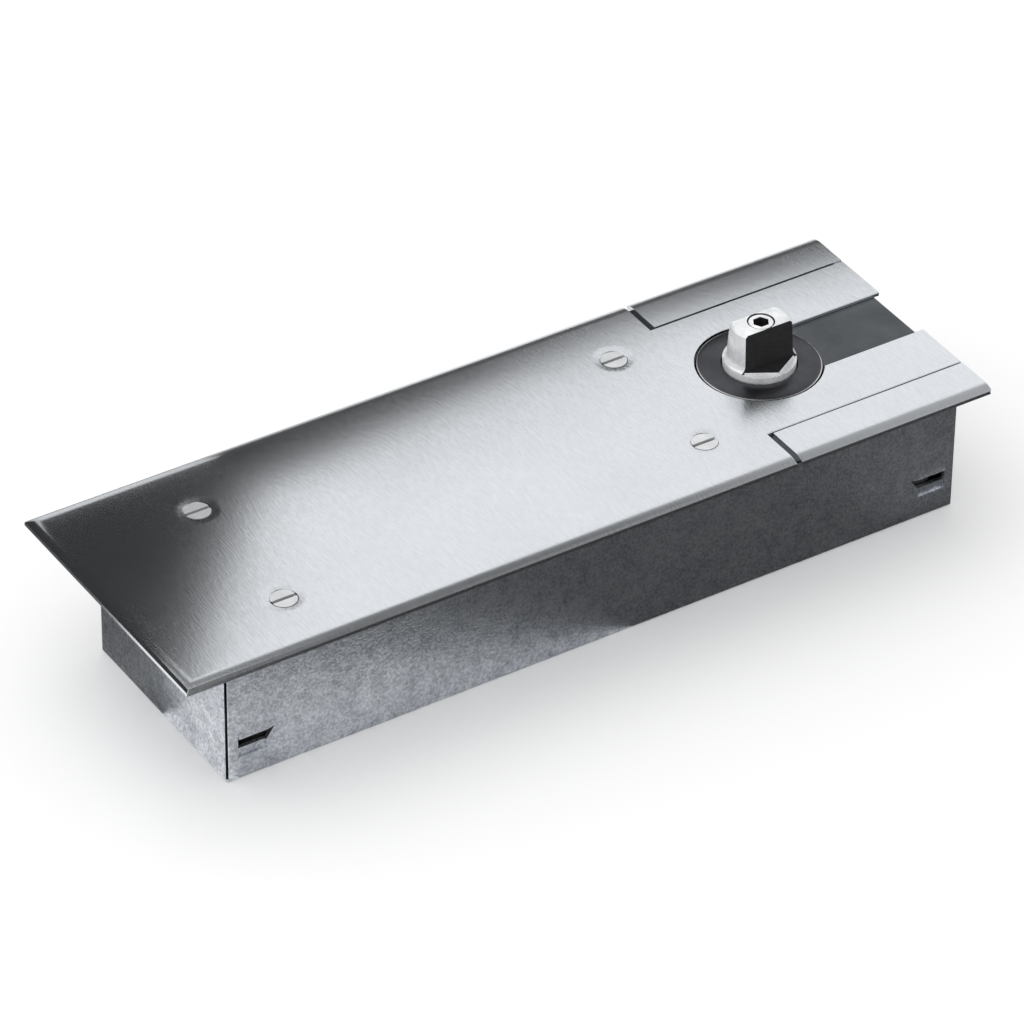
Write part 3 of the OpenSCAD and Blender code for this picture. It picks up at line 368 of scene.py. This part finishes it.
# %% [markdown]
# ### Dark steel
# The carrier plate and the disc round the spindle are dark: burnished steel under a thin oil film.
# They are nearly black, yet still metal, so they shine where the light grazes them. The disc is the
# darker and smoother of the two, so it gets a recipe of its own.

# %% Dark steel
bench = Workbench("dark_steel", metallic=1.0, roughness=0.34)
slow = bench.group(clouds, Scale=60.0)
tone = bench.mix((slow["Cloud"], 0.6), (slow["Grit"], 0.4))
bench.finish(colour=bench.blend(tone, (0.092, 0.099, 0.106), (0.138, 0.147, 0.155)),
             roughness=bench.blend(tone, 0.38, 0.30), height=slow["Grit"], depth=0.003)

# %% Disc steel
bench = Workbench("disc_steel", metallic=1.0, roughness=0.34)
slow = bench.group(clouds, Scale=70.0)
tone = bench.mix((slow["Cloud"], 0.7), (slow["Grit"], 0.3))
bench.finish(colour=bench.blend(tone, (0.068, 0.069, 0.076), (0.106, 0.108, 0.118)),
             roughness=bench.blend(tone, 0.38, 0.30), height=slow["Grit"], depth=0.0015)

# %% [markdown]
# ### Satin insert steel, and the painted dark reflection of its flats
# The insert is turned and then plated satin: pale, hardly a mirror, with soft patches of tone. Its
# two flats are ground and mirror dark surroundings: that dark reflection is painted as a nearly
# black material, which the pocket of its screw gets too, as painted shade. One piece can carry
# both: a second material goes on the faces that are dark.

# %% Insert steel
bench = Workbench("insert_steel", metallic=0.22, roughness=0.26)
lines = bench.group(brush_lines, Across_X=500.0, Along_Y=500.0, Across_Z=160.0)
slow = bench.group(clouds, Scale=110.0)
tone = bench.mix((lines["Line"], 0.35), (slow["Cloud"], 0.65))
bench.finish(colour=bench.blend(tone, (0.66, 0.67, 0.69), (0.975, 0.98, 0.985)),
             roughness=bench.blend(tone, 0.34, 0.22), height=lines["Line"], depth=0.002)

# %% Painted dark reflection and shade
# Nearly black and not metal: a painted dark reflection on the flats and painted shade in the
# pockets.
bench = Workbench("dark_reflection_and_shade", metallic=0.0, roughness=0.5, Specular_IOR_Level=0.12)
lines = bench.group(brush_lines, Across_X=500.0, Along_Y=500.0, Across_Z=3000.0)
bench.finish(colour=bench.blend(lines["Line"], (0.018, 0.018, 0.019), (0.026, 0.026, 0.027)),
             roughness=bench.blend(lines["Line"], 0.56, 0.44), height=lines["Line"], depth=0.001)

# %% [markdown]
# ### Galvanised sheet
# Hot-dip zinc sets in flakes that each reflect a little differently, with grey specks between them
# and broad stains where the sheet was handled. Four patterns of different size are added up to one
# tone, which moves the colour and the roughness together. The specks also give the relief.

# %% Galvanised
bench = Workbench("galvanised", metallic=0.95, roughness=0.34)
flakes = bench.group(spangle, Flakes=300.0)
mottle = bench.group(clouds, Scale=170.0)
stain = bench.group(clouds, Scale=24.0)
tone = bench.mix((flakes["Flake"], 0.1), (flakes["Speck"], 0.45), (mottle["Cloud"], 0.25),
                 (stain["Cloud"], 0.2))
bench.finish(colour=bench.blend(tone, (0.235, 0.255, 0.29), (0.83, 0.862, 0.91)),
             roughness=bench.blend(tone, 0.44, 0.28), height=flakes["Speck"], depth=0.075)

# %% [markdown]
# ### Metals inside the body
# The machined, plated and cast parts inside are seen when the closer is opened or looked at from
# below. They share one recipe: fine clouds for the tone, grit for the surface. Each call gives the
# dark and the light tone, the roughness in each, the scale of the clouds and the depth of the
# relief in millimetres.

# %% Metals of the inner parts
def inner_metal(name, dark, light, rough, polish, scale, depth, metallic=1.0):
    bench = Workbench(name, metallic=metallic, roughness=rough)
    slow = bench.group(clouds, Scale=scale)
    tone = bench.mix((slow["Cloud"], 0.5), (slow["Grit"], 0.5))
    bench.finish(colour=bench.blend(tone, dark, light), height=slow["Grit"], depth=depth,
                 roughness=bench.blend(tone, rough, polish))


inner_metal("cast_iron", (0.055, 0.058, 0.062), (0.105, 0.108, 0.112), 0.66, 0.5, 45.0, 0.08, 0.6)
inner_metal("bright_steel", (0.46, 0.47, 0.48), (0.66, 0.67, 0.68), 0.34, 0.2, 90.0, 0.004)
inner_metal("zinc_screw", (0.50, 0.51, 0.52), (0.70, 0.71, 0.71), 0.4, 0.26, 120.0, 0.006)
inner_metal("spring_steel", (0.10, 0.11, 0.13), (0.20, 0.21, 0.23), 0.44, 0.3, 110.0, 0.01)
inner_metal("bronze", (0.38, 0.22, 0.09), (0.58, 0.37, 0.18), 0.42, 0.28, 90.0, 0.006)
inner_metal("brass", (0.58, 0.42, 0.16), (0.78, 0.60, 0.28), 0.34, 0.2, 90.0, 0.004)

# %% [markdown]
# ### Rubber and gasket
# The seals and the lid's gasket aren't metal. Rubber is nearly black with a soft, wide sheen, and
# the gasket is pressed fibre with a felt-like grain.

# %% Rubber and gasket
inner_metal("seal_rubber", (0.012, 0.012, 0.013), (0.030, 0.030, 0.031), 0.7, 0.5, 140.0, 0.01, 0.0)
inner_metal("gasket_fibre", (0.030, 0.036, 0.030), (0.075, 0.085, 0.072), 0.9, 0.75, 200.0, 0.03,
            0.0)

# %% [markdown]
# ### Give every CAD node its finish
# The record names a material slot for every node. A node that keeps its CAD shape gets the finish
# of that name; its mesh isn't touched.

# %% Dress the carried-over nodes
for name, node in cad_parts.items():
    slot = node.data.materials[0].name
    node.data.materials.clear()
    node.data.materials.append(finishes[slot])
print("dressed", len(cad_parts), "nodes in", len(finishes), "finishes")

# %% [markdown]
# ## The cover
# The cover is 1.5 mm stainless sheet. Its long edges and its far end are rolled down, and the cut
# edges at the slot and at the strips are left square but for a broken arris. A copy of the CAD node
# keeps every opening, and a narrow bevel gives it that arris.

# %% Places of the cover's four screws
screws_lo, screws_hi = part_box("cover_screws")
screw_verts = [v.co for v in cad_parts["cover_screws"].data.vertices]
screws_middle = (screws_lo + screws_hi) / 2
screw_places = []
for right in (False, True):
    for rear in (False, True):
        mine = [co for co in screw_verts
                if (co.x > screws_middle.x) == right and (co.y > screws_middle.y) == rear]
        screw_places.append(Vector(((min(c.x for c in mine) + max(c.x for c in mine)) / 2,
                                    (min(c.y for c in mine) + max(c.y for c in mine)) / 2)))
head_r = (max(c.x for c in mine) - min(c.x for c in mine)) / 2
print("screws at", [tuple(round(v / MM, 1) for v in place) for place in screw_places])

# %% [markdown]
# Each screw's head lies in a shallow pressed dimple. On the real sheet its rim is soft: the metal
# bends in over a millimetre or so. So the floor of the dimple is lifted a little, which makes the
# slope gentler, and the rim gets a wide bevel. Two small tests pick the edges: one leaves the lower
# arris of the rolls crisp, and the other finds the rims.

# %% Cover plate
dimple_lift = 0.12 * MM
arris = 0.25                                   # millimetres


def off_the_rolls(edge):
    """True for an edge that isn't on the lower arris of a roll, which stays crisp."""
    inside = any(abs(v.co.y) < cover_hi[1] - 0.3 * MM for v in edge.verts)
    near_the_top = all(v.co.z > cover_hi[2] - 0.9 * MM for v in edge.verts)
    return inside or near_the_top


def in_a_dimple(co, reach):
    return any((co.xy - place).length < reach for place in screw_places)


bm = merged_copy("cover_plate")
dimple_z = screws_hi.z
dimple_floor = [v for v in bm.verts if abs(v.co.z - dimple_z) < 0.03 * MM
                and in_a_dimple(v.co, head_r + 0.6 * MM)]
bmesh.ops.translate(bm, vec=(0, 0, dimple_lift), verts=dimple_floor)
print("softened edges:", soften(bm, arris, only=off_the_rolls))


def on_a_rim(edge):
    return all(abs(v.co.z - cover_hi[2]) < 0.01 * MM and in_a_dimple(v.co, head_r + 2.5 * MM)
               for v in edge.verts)


print("rim edges:", soften(bm, 0.45, turn=6.0, only=on_a_rim, segments=3))
put("cover_sheet", bm, "closer", "stainless", replaces="cover_plate")

# %% [markdown]
# Two narrow strips lie beside the strap slot. They are cut from the same sheet and ground with the
# cover, so they get the same arris and the same finish, and the lines run on from one to the other.

# %% Cover strips
for side in ("front", "rear"):
    bm = merged_copy("cover_strip_" + side)
    print("softened edges:", soften(bm, arris, only=off_the_rolls))
    put("strip_" + side, bm, "closer", "stainless", replaces="cover_strip_" + side)

# %% [markdown]
# The carrier plate lies under the strips and shows as a dark floor in the strap slot and as a dark
# line in the gaps. It gets the same treatment.

# %% Carrier plate
bm = merged_copy("carrier_plate")
print("softened edges:", soften(bm, 0.15))
put("carrier_sheet", bm, "closer", "dark_steel", replaces="carrier_plate")

# %% [markdown]
# The screws sit on the floors of the dimples, so they go up with them. The floor of each slot is
# dark, because light hardly reaches it: its faces point up and lie well below the head's top, and
# they get the second material.

# %% Cover screws
bm = merged_copy("cover_screws")
bmesh.ops.translate(bm, vec=(0, 0, dimple_lift), verts=bm.verts)
print("softened edges:", soften(bm, 0.12))
head_top = screws_hi.z + dimple_lift
slot_from, slot_to = head_top - 2.5 * MM, head_top - 0.15 * MM
for face in bm.faces:
    middle = face.calc_center_median()
    face.material_index = int(face.normal.z > 0.5 and slot_from < middle.z < slot_to
                              and in_a_dimple(middle, 0.97 * head_r))
print("faces in the slots:", sum(face.material_index for face in bm.faces))
slotted_screws = put("slotted_screws", bm, "closer", "stainless", replaces="cover_screws")
slotted_screws.data.materials[0] = finishes["satin_screw"]
slotted_screws.data.materials.append(finishes["dark_steel"])

# %% [markdown]
# ## The cement box
# The box is folded from one sheet, with an open seam at each upright corner and four lugs pressed
# out of the long sides. Its rim and cut edges get a small bevel.

# %% Cement box
bm = merged_copy("cement_box")
print("softened edges:", soften(bm, 0.18))
put("folded_box", bm, "closer", "galvanised", replaces="cement_box")

# %% [markdown]
# ## The disc round the spindle
# The bearing cap is a turned disc, so it is spun: a half outline of a few points goes round the
# axis once, with `use_merge` closing the seam. Its face is slightly crowned: each point on it is
# given by its way in from the rim and by the part of the crown that is still to climb. The rim is
# chamfered, and its faces get bright steel: a painted highlight, the thin line of light that the
# chamfer catches.

# %% A helper that spins an outline
def spun(points, steps=96):
    """Spins a closed outline of (radius, height) points once round the spindle's axis."""
    bm = bmesh.new()
    verts = [bm.verts.new((r * MM, 0.0, z * MM)) for r, z in points]
    for first, second in zip(verts, verts[1:] + verts[:1]):
        bm.edges.new((first, second))
    bmesh.ops.spin(bm, geom=bm.verts[:] + bm.edges[:], cent=(0, 0, 0), axis=(0, 0, 1),
                   angle=math.tau, steps=steps, use_merge=True)
    bmesh.ops.remove_doubles(bm, verts=bm.verts, dist=0.001 * MM)
    return bm


# %% Bearing cap
cap_r = cap_hi[0] / MM
cap_z = cap_hi[2] / MM
foot_z = cap_lo[2] / MM
bore_r = 12.9
crown = 0.6
rim_w = 0.5
rim_z = cap_z - crown
crowned_face = [(cap_r - inwards, cap_z - left * crown)
                for inwards, left in ((1.6, 0.66), (3.0, 0.38), (4.5, 0.16), (6.0, 0.05))]
bm = spun([(bore_r, foot_z), (cap_r, foot_z), (cap_r, rim_z - 0.5),
           (cap_r - 0.14, rim_z - 0.16), (cap_r - rim_w, rim_z), *crowned_face,
           (bore_r + 0.3, cap_z), (bore_r + 0.08, cap_z - 0.1), (bore_r, cap_z - 0.3)])
# The rim's faces get bright steel as a painted highlight.
for face in bm.faces:
    highlit_rim = all(math.hypot(v.co.x, v.co.y) / MM > cap_r - 1.01 * rim_w
               and v.co.z / MM > rim_z - 0.2 for v in face.verts)
    face.material_index = int(highlit_rim)
spindle_disc = put("spindle_disc", bm, "closer", "dark_steel", replaces="bearing_cap")
spindle_disc.data.materials[0] = finishes["disc_steel"]
spindle_disc.data.materials.append(finishes["bright_steel"])

# %% [markdown]
# ## The spindle and its insert
# The spindle's round head stands proud of the disc. The insert is a turned cone with two flats: it
# is spun first and then cut by two leaning planes, exactly as it is made on the real one. Cutting a
# spun shape leaves true hyperbola-like edges between cone and flat, which would be hard to draw.

# %% Spindle
bm = merged_copy("spindle")
print("softened edges:", soften(bm, 0.18))
put("spindle_shaft", bm, "spindle_set", "insert_steel", replaces="spindle")

# %% Insert block
head_z = spindle_hi[2] / MM
top_z = insert_hi[2] / MM
rim_r = insert_hi[0] / MM
pocket_depth, pocket_r, mouth_r, hole_r = 5.2, 4.4, 4.75, 3.2
pocket_z = top_z - pocket_depth
rim_h, flare_h, block_r, top_r, chamfer = 0.5, 3.2, 11.1, 10.5, 0.8
run, rise = rim_r - block_r, flare_h - rim_h
arc_r = (run ** 2 + rise ** 2) / (2 * run)
arc_turn = math.asin(rise / arc_r)
arc_steps = 8
outline = [(hole_r, pocket_z), (hole_r, head_z), (rim_r - 0.12, head_z),
           (rim_r, head_z + 0.12), (rim_r, head_z + rim_h)]
for step in range(1, arc_steps + 1):
    turn = arc_turn * (1 - step / arc_steps)
    outline.append((block_r + arc_r * (1 - math.cos(turn)),
                    head_z + flare_h - arc_r * math.sin(turn)))
outline += [(top_r, top_z - chamfer - 0.1), (top_r - 0.05, top_z - chamfer + 0.05),
            (top_r - chamfer + 0.05, top_z - 0.05), (top_r - chamfer - 0.1, top_z),
            (mouth_r, top_z), (pocket_r, top_z - 0.25), (pocket_r, pocket_z)]
bm = spun(outline, steps=128)
print("the outline has", len(outline), "points and the spun block", len(bm.faces), "faces")

# %% [markdown]
# Each flat is one cut with a leaning plane. The cut leaves an open edge, `contextual_create` closes
# it with a face, and that face gets the dark material, a painted dark reflection. So do the faces
# inside the screw's pocket, as painted shade.

# %% Cut the two flats
flat_foot, flat_top = 11.5, 9.5
lean = math.atan2((flat_foot - flat_top) / 2, top_z - head_z)
for side in (-1, 1):
    bmesh.ops.bisect_plane(bm, geom=bm.verts[:] + bm.edges[:] + bm.faces[:], dist=0.0001 * MM,
                           plane_co=(0, side * flat_foot / 2 * MM, head_z * MM),
                           plane_no=(0, side * math.cos(lean), math.sin(lean)), clear_outer=True)
    filled = bmesh.ops.contextual_create(bm, geom=[e for e in bm.edges if e.is_boundary])
    # The flat's face gets the painted dark reflection.
    for face in filled["faces"]:
        face.material_index = 1
soften(bm, 0.12, turn=40.0, only=lambda e: any(f.material_index for f in e.link_faces))
# The faces inside the pocket get painted shade.
for face in bm.faces:
    if max(math.hypot(v.co.x, v.co.y) for v in face.verts) < (mouth_r + 0.15) * MM:
        face.material_index = 1
insert_block = put("insert_block", bm, "spindle_set", "insert_steel", replaces="spindle_insert")
insert_block.data.materials.append(finishes["dark_reflection_and_shade"])
print("flats lean", round(math.degrees(lean), 2), "degrees")

# %% [markdown]
# Under the block lies a thin hexagonal collar, and below it a hexagonal shank plugs into the
# spindle. Both are circles of six segments, extruded: the quickest way to a true hexagon. The
# collar's large faces and the two sides that lie under the flats get the flats' nearly black
# material, a painted dark reflection like theirs.

# %% Collar and shank
def hexagon(across_flats, z0, z1, turn):
    bm = bmesh.new()
    bmesh.ops.create_circle(bm, cap_ends=True, segments=6,
                            radius=across_flats / math.sqrt(3) * MM,
                            matrix=Matrix.Translation((0, 0, z0 * MM))
                            @ Matrix.Rotation(math.radians(turn), 4, "Z"))
    up = bmesh.ops.extrude_face_region(bm, geom=bm.faces[:])
    bmesh.ops.translate(bm, vec=(0, 0, (z1 - z0) * MM),
                        verts=[v for v in up["geom"] if isinstance(v, bmesh.types.BMVert)])
    return bm


collar_flats, collar_h = 20.0, 0.5
shank_flats, shank_length = 13.0, 12.0
large_face = 20 * MM ** 2
bm = hexagon(collar_flats, head_z, head_z + collar_h, 0)
soften(bm, 0.16)
for face in bm.faces:
    # Painted dark reflection on the collar's large faces and on the sides under the flats.
    face.material_index = int(face.calc_area() > large_face or abs(face.normal.y) > 0.9)
insert_collar = put("insert_collar", bm, "spindle_set", "insert_steel", replaces="spindle_insert")
insert_collar.data.materials.append(finishes["dark_reflection_and_shade"])
bm = hexagon(shank_flats, head_z - shank_length, head_z, 30)
soften(bm, 0.2)
put("insert_shank", bm, "spindle_set", "insert_steel", replaces="spindle_insert")

# %% [markdown]
# One socket screw holds the insert. Its head shows at the bottom of the pocket, as pale as the
# insert, and its six-sided socket is painted dark as shade: the faces close to the axis and near
# the top.

# %% Insert screw
socket_r, socket_depth = 3.0 * MM, 4.0 * MM
bm = merged_copy("insert_screw")
for face in bm.faces:
    inside = all(math.hypot(v.co.x, v.co.y) < socket_r for v in face.verts)
    # Painted shade in the socket.
    face.material_index = int(
        inside and face.calc_center_median().z > screw_hi[2] - socket_depth)
print("softened edges:", soften(bm, 0.15))
socket_screw = put("socket_screw", bm, "spindle_set", "zinc_screw", replaces="insert_screw")
socket_screw.data.materials[0] = finishes["insert_steel"]
socket_screw.data.materials.append(finishes["dark_reflection_and_shade"])

# %% [markdown]
# ## The main spring
# The spring is round wire wound into a coil, with the last turn at each end lying close and ground
# flat, so that it stands square on its seat. A ring of edges is spun round the cylinder's axis
# while it also moves along it: `spin` does both when it is given a step along the axis in `dvec`.

# %% Wind the spring
spring_lo, spring_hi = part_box("main_spring")
spring_length = spring_hi.x - spring_lo.x
spring_turns, turn_steps, wire_sides = 10, 36, 18
wire_d = 6.0 * MM
close_pitch = wire_d + 0.3 * MM
open_pitch = (spring_length - 2 * close_pitch) / (spring_turns - 2)
wire_r = wire_d / 2
spring_axis = Vector((spring_lo.x, 0, (spring_lo.z + spring_hi.z) / 2))
start = spring_axis + Vector((0, spring_hi.y - wire_r, 0))
bm = bmesh.new()
ring = bmesh.ops.create_circle(bm, segments=wire_sides, radius=wire_r,
                               matrix=Matrix.Translation(start))["verts"]
last = ring + list({edge for vert in ring for edge in vert.link_edges})
for turns, pitch in ((1, close_pitch), (spring_turns - 2, open_pitch), (1, close_pitch)):
    last = bmesh.ops.spin(bm, geom=last, cent=spring_axis, axis=(1, 0, 0),
                          dvec=(pitch / turn_steps, 0, 0), angle=math.tau * turns,
                          steps=turn_steps * turns)["geom_last"]
bmesh.ops.holes_fill(bm, edges=[e for e in bm.edges if e.is_boundary], sides=0)
for end, outwards in ((spring_lo, -1), (spring_hi, 1)):
    bmesh.ops.bisect_plane(bm, geom=bm.verts[:] + bm.edges[:] + bm.faces[:], dist=0.0001 * MM,
                           plane_co=end, plane_no=(outwards, 0, 0), clear_outer=True)
    bmesh.ops.holes_fill(bm, edges=[e for e in bm.edges if e.is_boundary], sides=0)
print("open edges of the spring:", sum(e.is_boundary for e in bm.edges))
coil_spring = put("coil_spring", bm, "closer", "spring_steel", replaces="main_spring")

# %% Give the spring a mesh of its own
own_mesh(coil_spring)
print("spring", round(spring_length / MM, 1), "mm long at rest")

# %% [markdown]
# ## Floor, light and camera
# Brushed metal has hardly a colour of its own: it shows what stands round it. So the studio is
# white, and cards stand where the metal has to fall darker. The floor is plain and pale and keeps
# the object's shadow. It lies 0.3 mm above the box's underside, so that a view from below still
# shows the box. A faint glow, which only the camera sees, takes its paint up to white.

# %% Floor
floor_z = cad_box[0][2] + 0.3 * MM
floor_reach = 6.0
floor_tone, floor_glow = 0.86, 0.13
bm = bmesh.new()
bmesh.ops.create_grid(bm, x_segments=1, y_segments=1, size=floor_reach,
                      matrix=Matrix.Translation((0, 0, floor_z)))
mesh = bpy.data.meshes.new("floor")
bm.to_mesh(mesh)
bm.free()
floor = bpy.data.objects.new("floor", mesh)
bpy.context.scene.collection.objects.link(floor)
paint = bpy.data.materials.new("floor_paint")
paint.use_nodes = True
shader = paint.node_tree.nodes["Principled BSDF"]
shader.inputs["Base Color"].default_value = (floor_tone, floor_tone, floor_tone, 1.0)
shader.inputs["Roughness"].default_value = 0.9
shader.inputs["Specular IOR Level"].default_value = 0.0
shader.inputs["Emission Color"].default_value = (1.0, 1.0, 1.0, 1.0)
lift = paint.node_tree.nodes.new("ShaderNodeMath")
lift.operation = "MULTIPLY"
lift.inputs[1].default_value = floor_glow
seen = paint.node_tree.nodes.new("ShaderNodeLightPath").outputs["Is Camera Ray"]
paint.node_tree.links.new(seen, lift.inputs[0])
paint.node_tree.links.new(lift.outputs[0], shader.inputs["Emission Strength"])
floor.data.materials.append(paint)
print("floor is", tuple(round(v, 1) for v in floor.dimensions), "m")

# %% [markdown]
# The world is white where the camera, a mirror or a glass looks at it, and a plain grey where it
# only lights the scene. A large soft lamp from above adds the direction that a shadow needs.

# %% World and lamp
seen_level, lighting_level = 1.0, 0.8
world = bpy.data.worlds.new("studio")
bpy.context.scene.world = world
world.use_nodes = True
tree = world.node_tree
path = tree.nodes.new("ShaderNodeLightPath")
either = tree.nodes.new("ShaderNodeMath")
either.operation = "MAXIMUM"
tree.links.new(path.outputs["Is Camera Ray"], either.inputs[0])
tree.links.new(path.outputs["Is Glossy Ray"], either.inputs[1])
any_of_three = tree.nodes.new("ShaderNodeMath")
any_of_three.operation = "MAXIMUM"
tree.links.new(either.outputs[0], any_of_three.inputs[0])
tree.links.new(path.outputs["Is Transmission Ray"], any_of_three.inputs[1])
level = tree.nodes.new("ShaderNodeMapRange")
level.inputs["To Min"].default_value = lighting_level
level.inputs["To Max"].default_value = seen_level
tree.links.new(any_of_three.outputs[0], level.inputs["Value"])
tree.links.new(level.outputs["Result"], tree.nodes["Background"].inputs["Strength"])
tree.nodes["Background"].inputs["Color"].default_value = (1.0, 1.0, 1.0, 1.0)


def softbox(name, place, aim, width, height, power):
    lamp = bpy.data.lights.new(name, "AREA")
    lamp.shape = "RECTANGLE"
    lamp.size, lamp.size_y, lamp.energy = width, height, power
    box = bpy.data.objects.new(name, lamp)
    turn = (Vector(aim) - Vector(place)).to_track_quat("-Z", "Y").to_matrix().to_4x4()
    box.matrix_world = Matrix.Translation(place) @ turn
    box.visible_camera = False
    box.visible_glossy = False
    bpy.context.scene.collection.objects.link(box)
    return box


softbox("top_light", place=(-0.7, 0.5, 1.8), aim=(0.0, 0.0, 0.05), width=2.4, height=2.4,
        power=17.0)

# %% [markdown]
# A card is seen by reflections only, so it neither shows in the picture nor takes light from the
# object. It shines evenly at a level of its own, from nearly black to white. Its straight edge is
# what matters: `card` takes the two ends of that edge, can let it reach past them, and lays the
# card to the left of the way from the first end to the second, or to the right with a negative
# depth.

# %% Cards
def card_finish(name, level):
    material = bpy.data.materials.new(name)
    material.use_nodes = True
    shader = material.node_tree.nodes["Principled BSDF"]
    shader.inputs["Base Color"].default_value = (0.0, 0.0, 0.0, 1.0)
    shader.inputs["Specular IOR Level"].default_value = 0.0
    shader.inputs["Emission Color"].default_value = (1.0, 1.0, 1.0, 1.0)
    shader.inputs["Emission Strength"].default_value = level
    return material


black = card_finish("card_black", 0.04)
dim = card_finish("card_dim", 0.09)
slate = card_finish("card_slate", 0.17)
grey = card_finish("card_grey", 0.48)
pale = card_finish("card_pale", 0.75)
white = card_finish("card_white", 1.0)


def card(name, first, second, height, depth=0.5, reach=0.3, finish=black):
    along = Vector((second[0] - first[0], second[1] - first[1], 0)).normalized()
    across = Vector((-along.y, along.x, 0))
    middle = (Vector((*first, 0)) + Vector((*second, 0))) / 2
    length = (Vector(second) - Vector(first)).length + 2 * reach
    bm = bmesh.new()
    bmesh.ops.create_grid(bm, x_segments=1, y_segments=1, size=0.5)
    bmesh.ops.scale(bm, vec=(length, depth, 1), verts=bm.verts)
    bmesh.ops.rotate(bm, matrix=Matrix.Rotation(math.atan2(along.y, along.x), 3, "Z"),
                     verts=bm.verts)
    bmesh.ops.translate(bm, vec=middle + across * depth / 2 + Vector((0, 0, height)),
                        verts=bm.verts)
    mesh = bpy.data.meshes.new(name)
    bm.to_mesh(mesh)
    bm.free()
    panel = bpy.data.objects.new(name, mesh)
    panel.data.materials.append(finish)
    for ray in ("camera", "diffuse", "shadow", "transmission"):
        setattr(panel, "visible_" + ray, False)
    bpy.context.scene.collection.objects.link(panel)
    return panel


# %% [markdown]
# Three black cards hang low over the cover, to its left and behind it, and make the brushed sheet
# fall dark at its far end and along its back. A flat sheet mirrors the card's edge at a place that
# moves with the card's height, so `card_over_cover` takes the place on the cover where the edge has
# to show, and works out where the card hangs for it.

# %% Cards over the cover
mirrored_shift = Vector((0.725, 1.124))        # sideways for each unit of height


def card_over_cover(name, first, second, height):
    """A black card whose edge shows on the cover between two points, all in millimetres."""
    rise = height * MM
    ends = [Vector(point) * MM + mirrored_shift * rise for point in (first, second)]
    return card(name, ends[0], ends[1], cover_hi[2] + rise)


card_over_cover("card_left", (-250, -44), (-188, 27), 90)
card_over_cover("card_back", (-190, 27.5), (-20, 42.5), 52)
card_over_cover("card_back_right", (-22, 42), (58, 38.5), 46)

# %% [markdown]
# The rolled edges need cards of their own. The rear roll looks at what lies behind it, so two cards
# hang close there, just over the cover's height: a pale one at the far end and a dim one along the
# rest. The front roll leans towards the viewer and mirrors what is overhead, so three hang high up,
# in steps from dim to grey.

# %% Cards for the rolls
roll_edge, roll_height, roll_depth = 0.0595, 0.062, 0.14
overhead_edge, overhead_height, overhead_depth = -1.2, 2.0, 2.35
for name, x0, x1, finish in (("card_roll", -0.244, -0.175, pale),
                             ("card_roll_right", -0.175, 0.13, dim)):
    card(name, (x0, roll_edge), (x1, roll_edge), roll_height, roll_depth, 0.0, finish)
for name, x0, x1, finish in (("card_above_left", 0.1, 0.87, dim),
                             ("card_above", 0.87, 0.99, slate),
                             ("card_above_right", 0.99, 1.9, grey)):
    card(name, (x0, overhead_edge), (x1, overhead_edge), overhead_height, overhead_depth, 0.0,
         finish)

# %% [markdown]
# The upright sides of the box look at the floor round them, so seven cards lie on it, each a
# little higher than the one that it covers. Black and dim ones lie in front and at the jamb end, a
# white one at the corner of the front and the far end, and two darker ones beside the far end.

# %% Cards on the floor
card("card_front", (-0.187, -0.086), (-0.086, -0.045), floor_z + 0.6 * MM, depth=-0.5)
for name, first, second, lift, depth, finish in (
        ("card_front_right", (0.03, -0.10), (0.20, -0.10), 0.7, 0.055, dim),
        ("card_edge", (-0.30, -0.104), (0.20, -0.104), 0.8, -0.14, black),
        ("card_jamb", (0.062, -0.042), (0.20, -0.042), 0.8, 0.1, black),
        ("card_corner", (-0.32, -0.10), (-0.227, -0.10), 0.5, 0.14, white),
        ("card_end", (-0.45, 0.20), (-0.232, 0.0), 0.6, 0.4, dim),
        ("card_end_near", (-0.243, 0.2), (-0.243, 0.0), 0.9, 0.012, slate)):
    card(name, first, second, floor_z + lift * MM, depth, 0.0, finish)

# %% [markdown]
# The camera is a long lens, which keeps the long box from running together towards its far end. Its
# three axes are given as directions, and a matrix turns them into a pose.

# %% Camera
lens = bpy.data.cameras.new("camera")
lens.lens, lens.sensor_width = 219.79, 36.0    # millimetres
lens.clip_end = 20.0
camera = bpy.data.objects.new("camera", lens)
camera_place = (-0.99431212, -1.39126709, 1.26781577)
right = Vector((0.84444939, -0.53554846, 0.00964765))
down = Vector((-0.31419007, -0.50983967, -0.80084213))
forward = Vector((0.43380852, 0.67323945, -0.59879781))
turn = Matrix((right, -down, -forward)).transposed().to_4x4()
camera.matrix_world = Matrix.Translation(camera_place) @ turn
bpy.context.scene.collection.objects.link(camera)
bpy.context.scene.camera = camera
bpy.context.scene.view_settings.view_transform = "Standard"
print("camera looks along", tuple(round(v, 3) for v in forward))
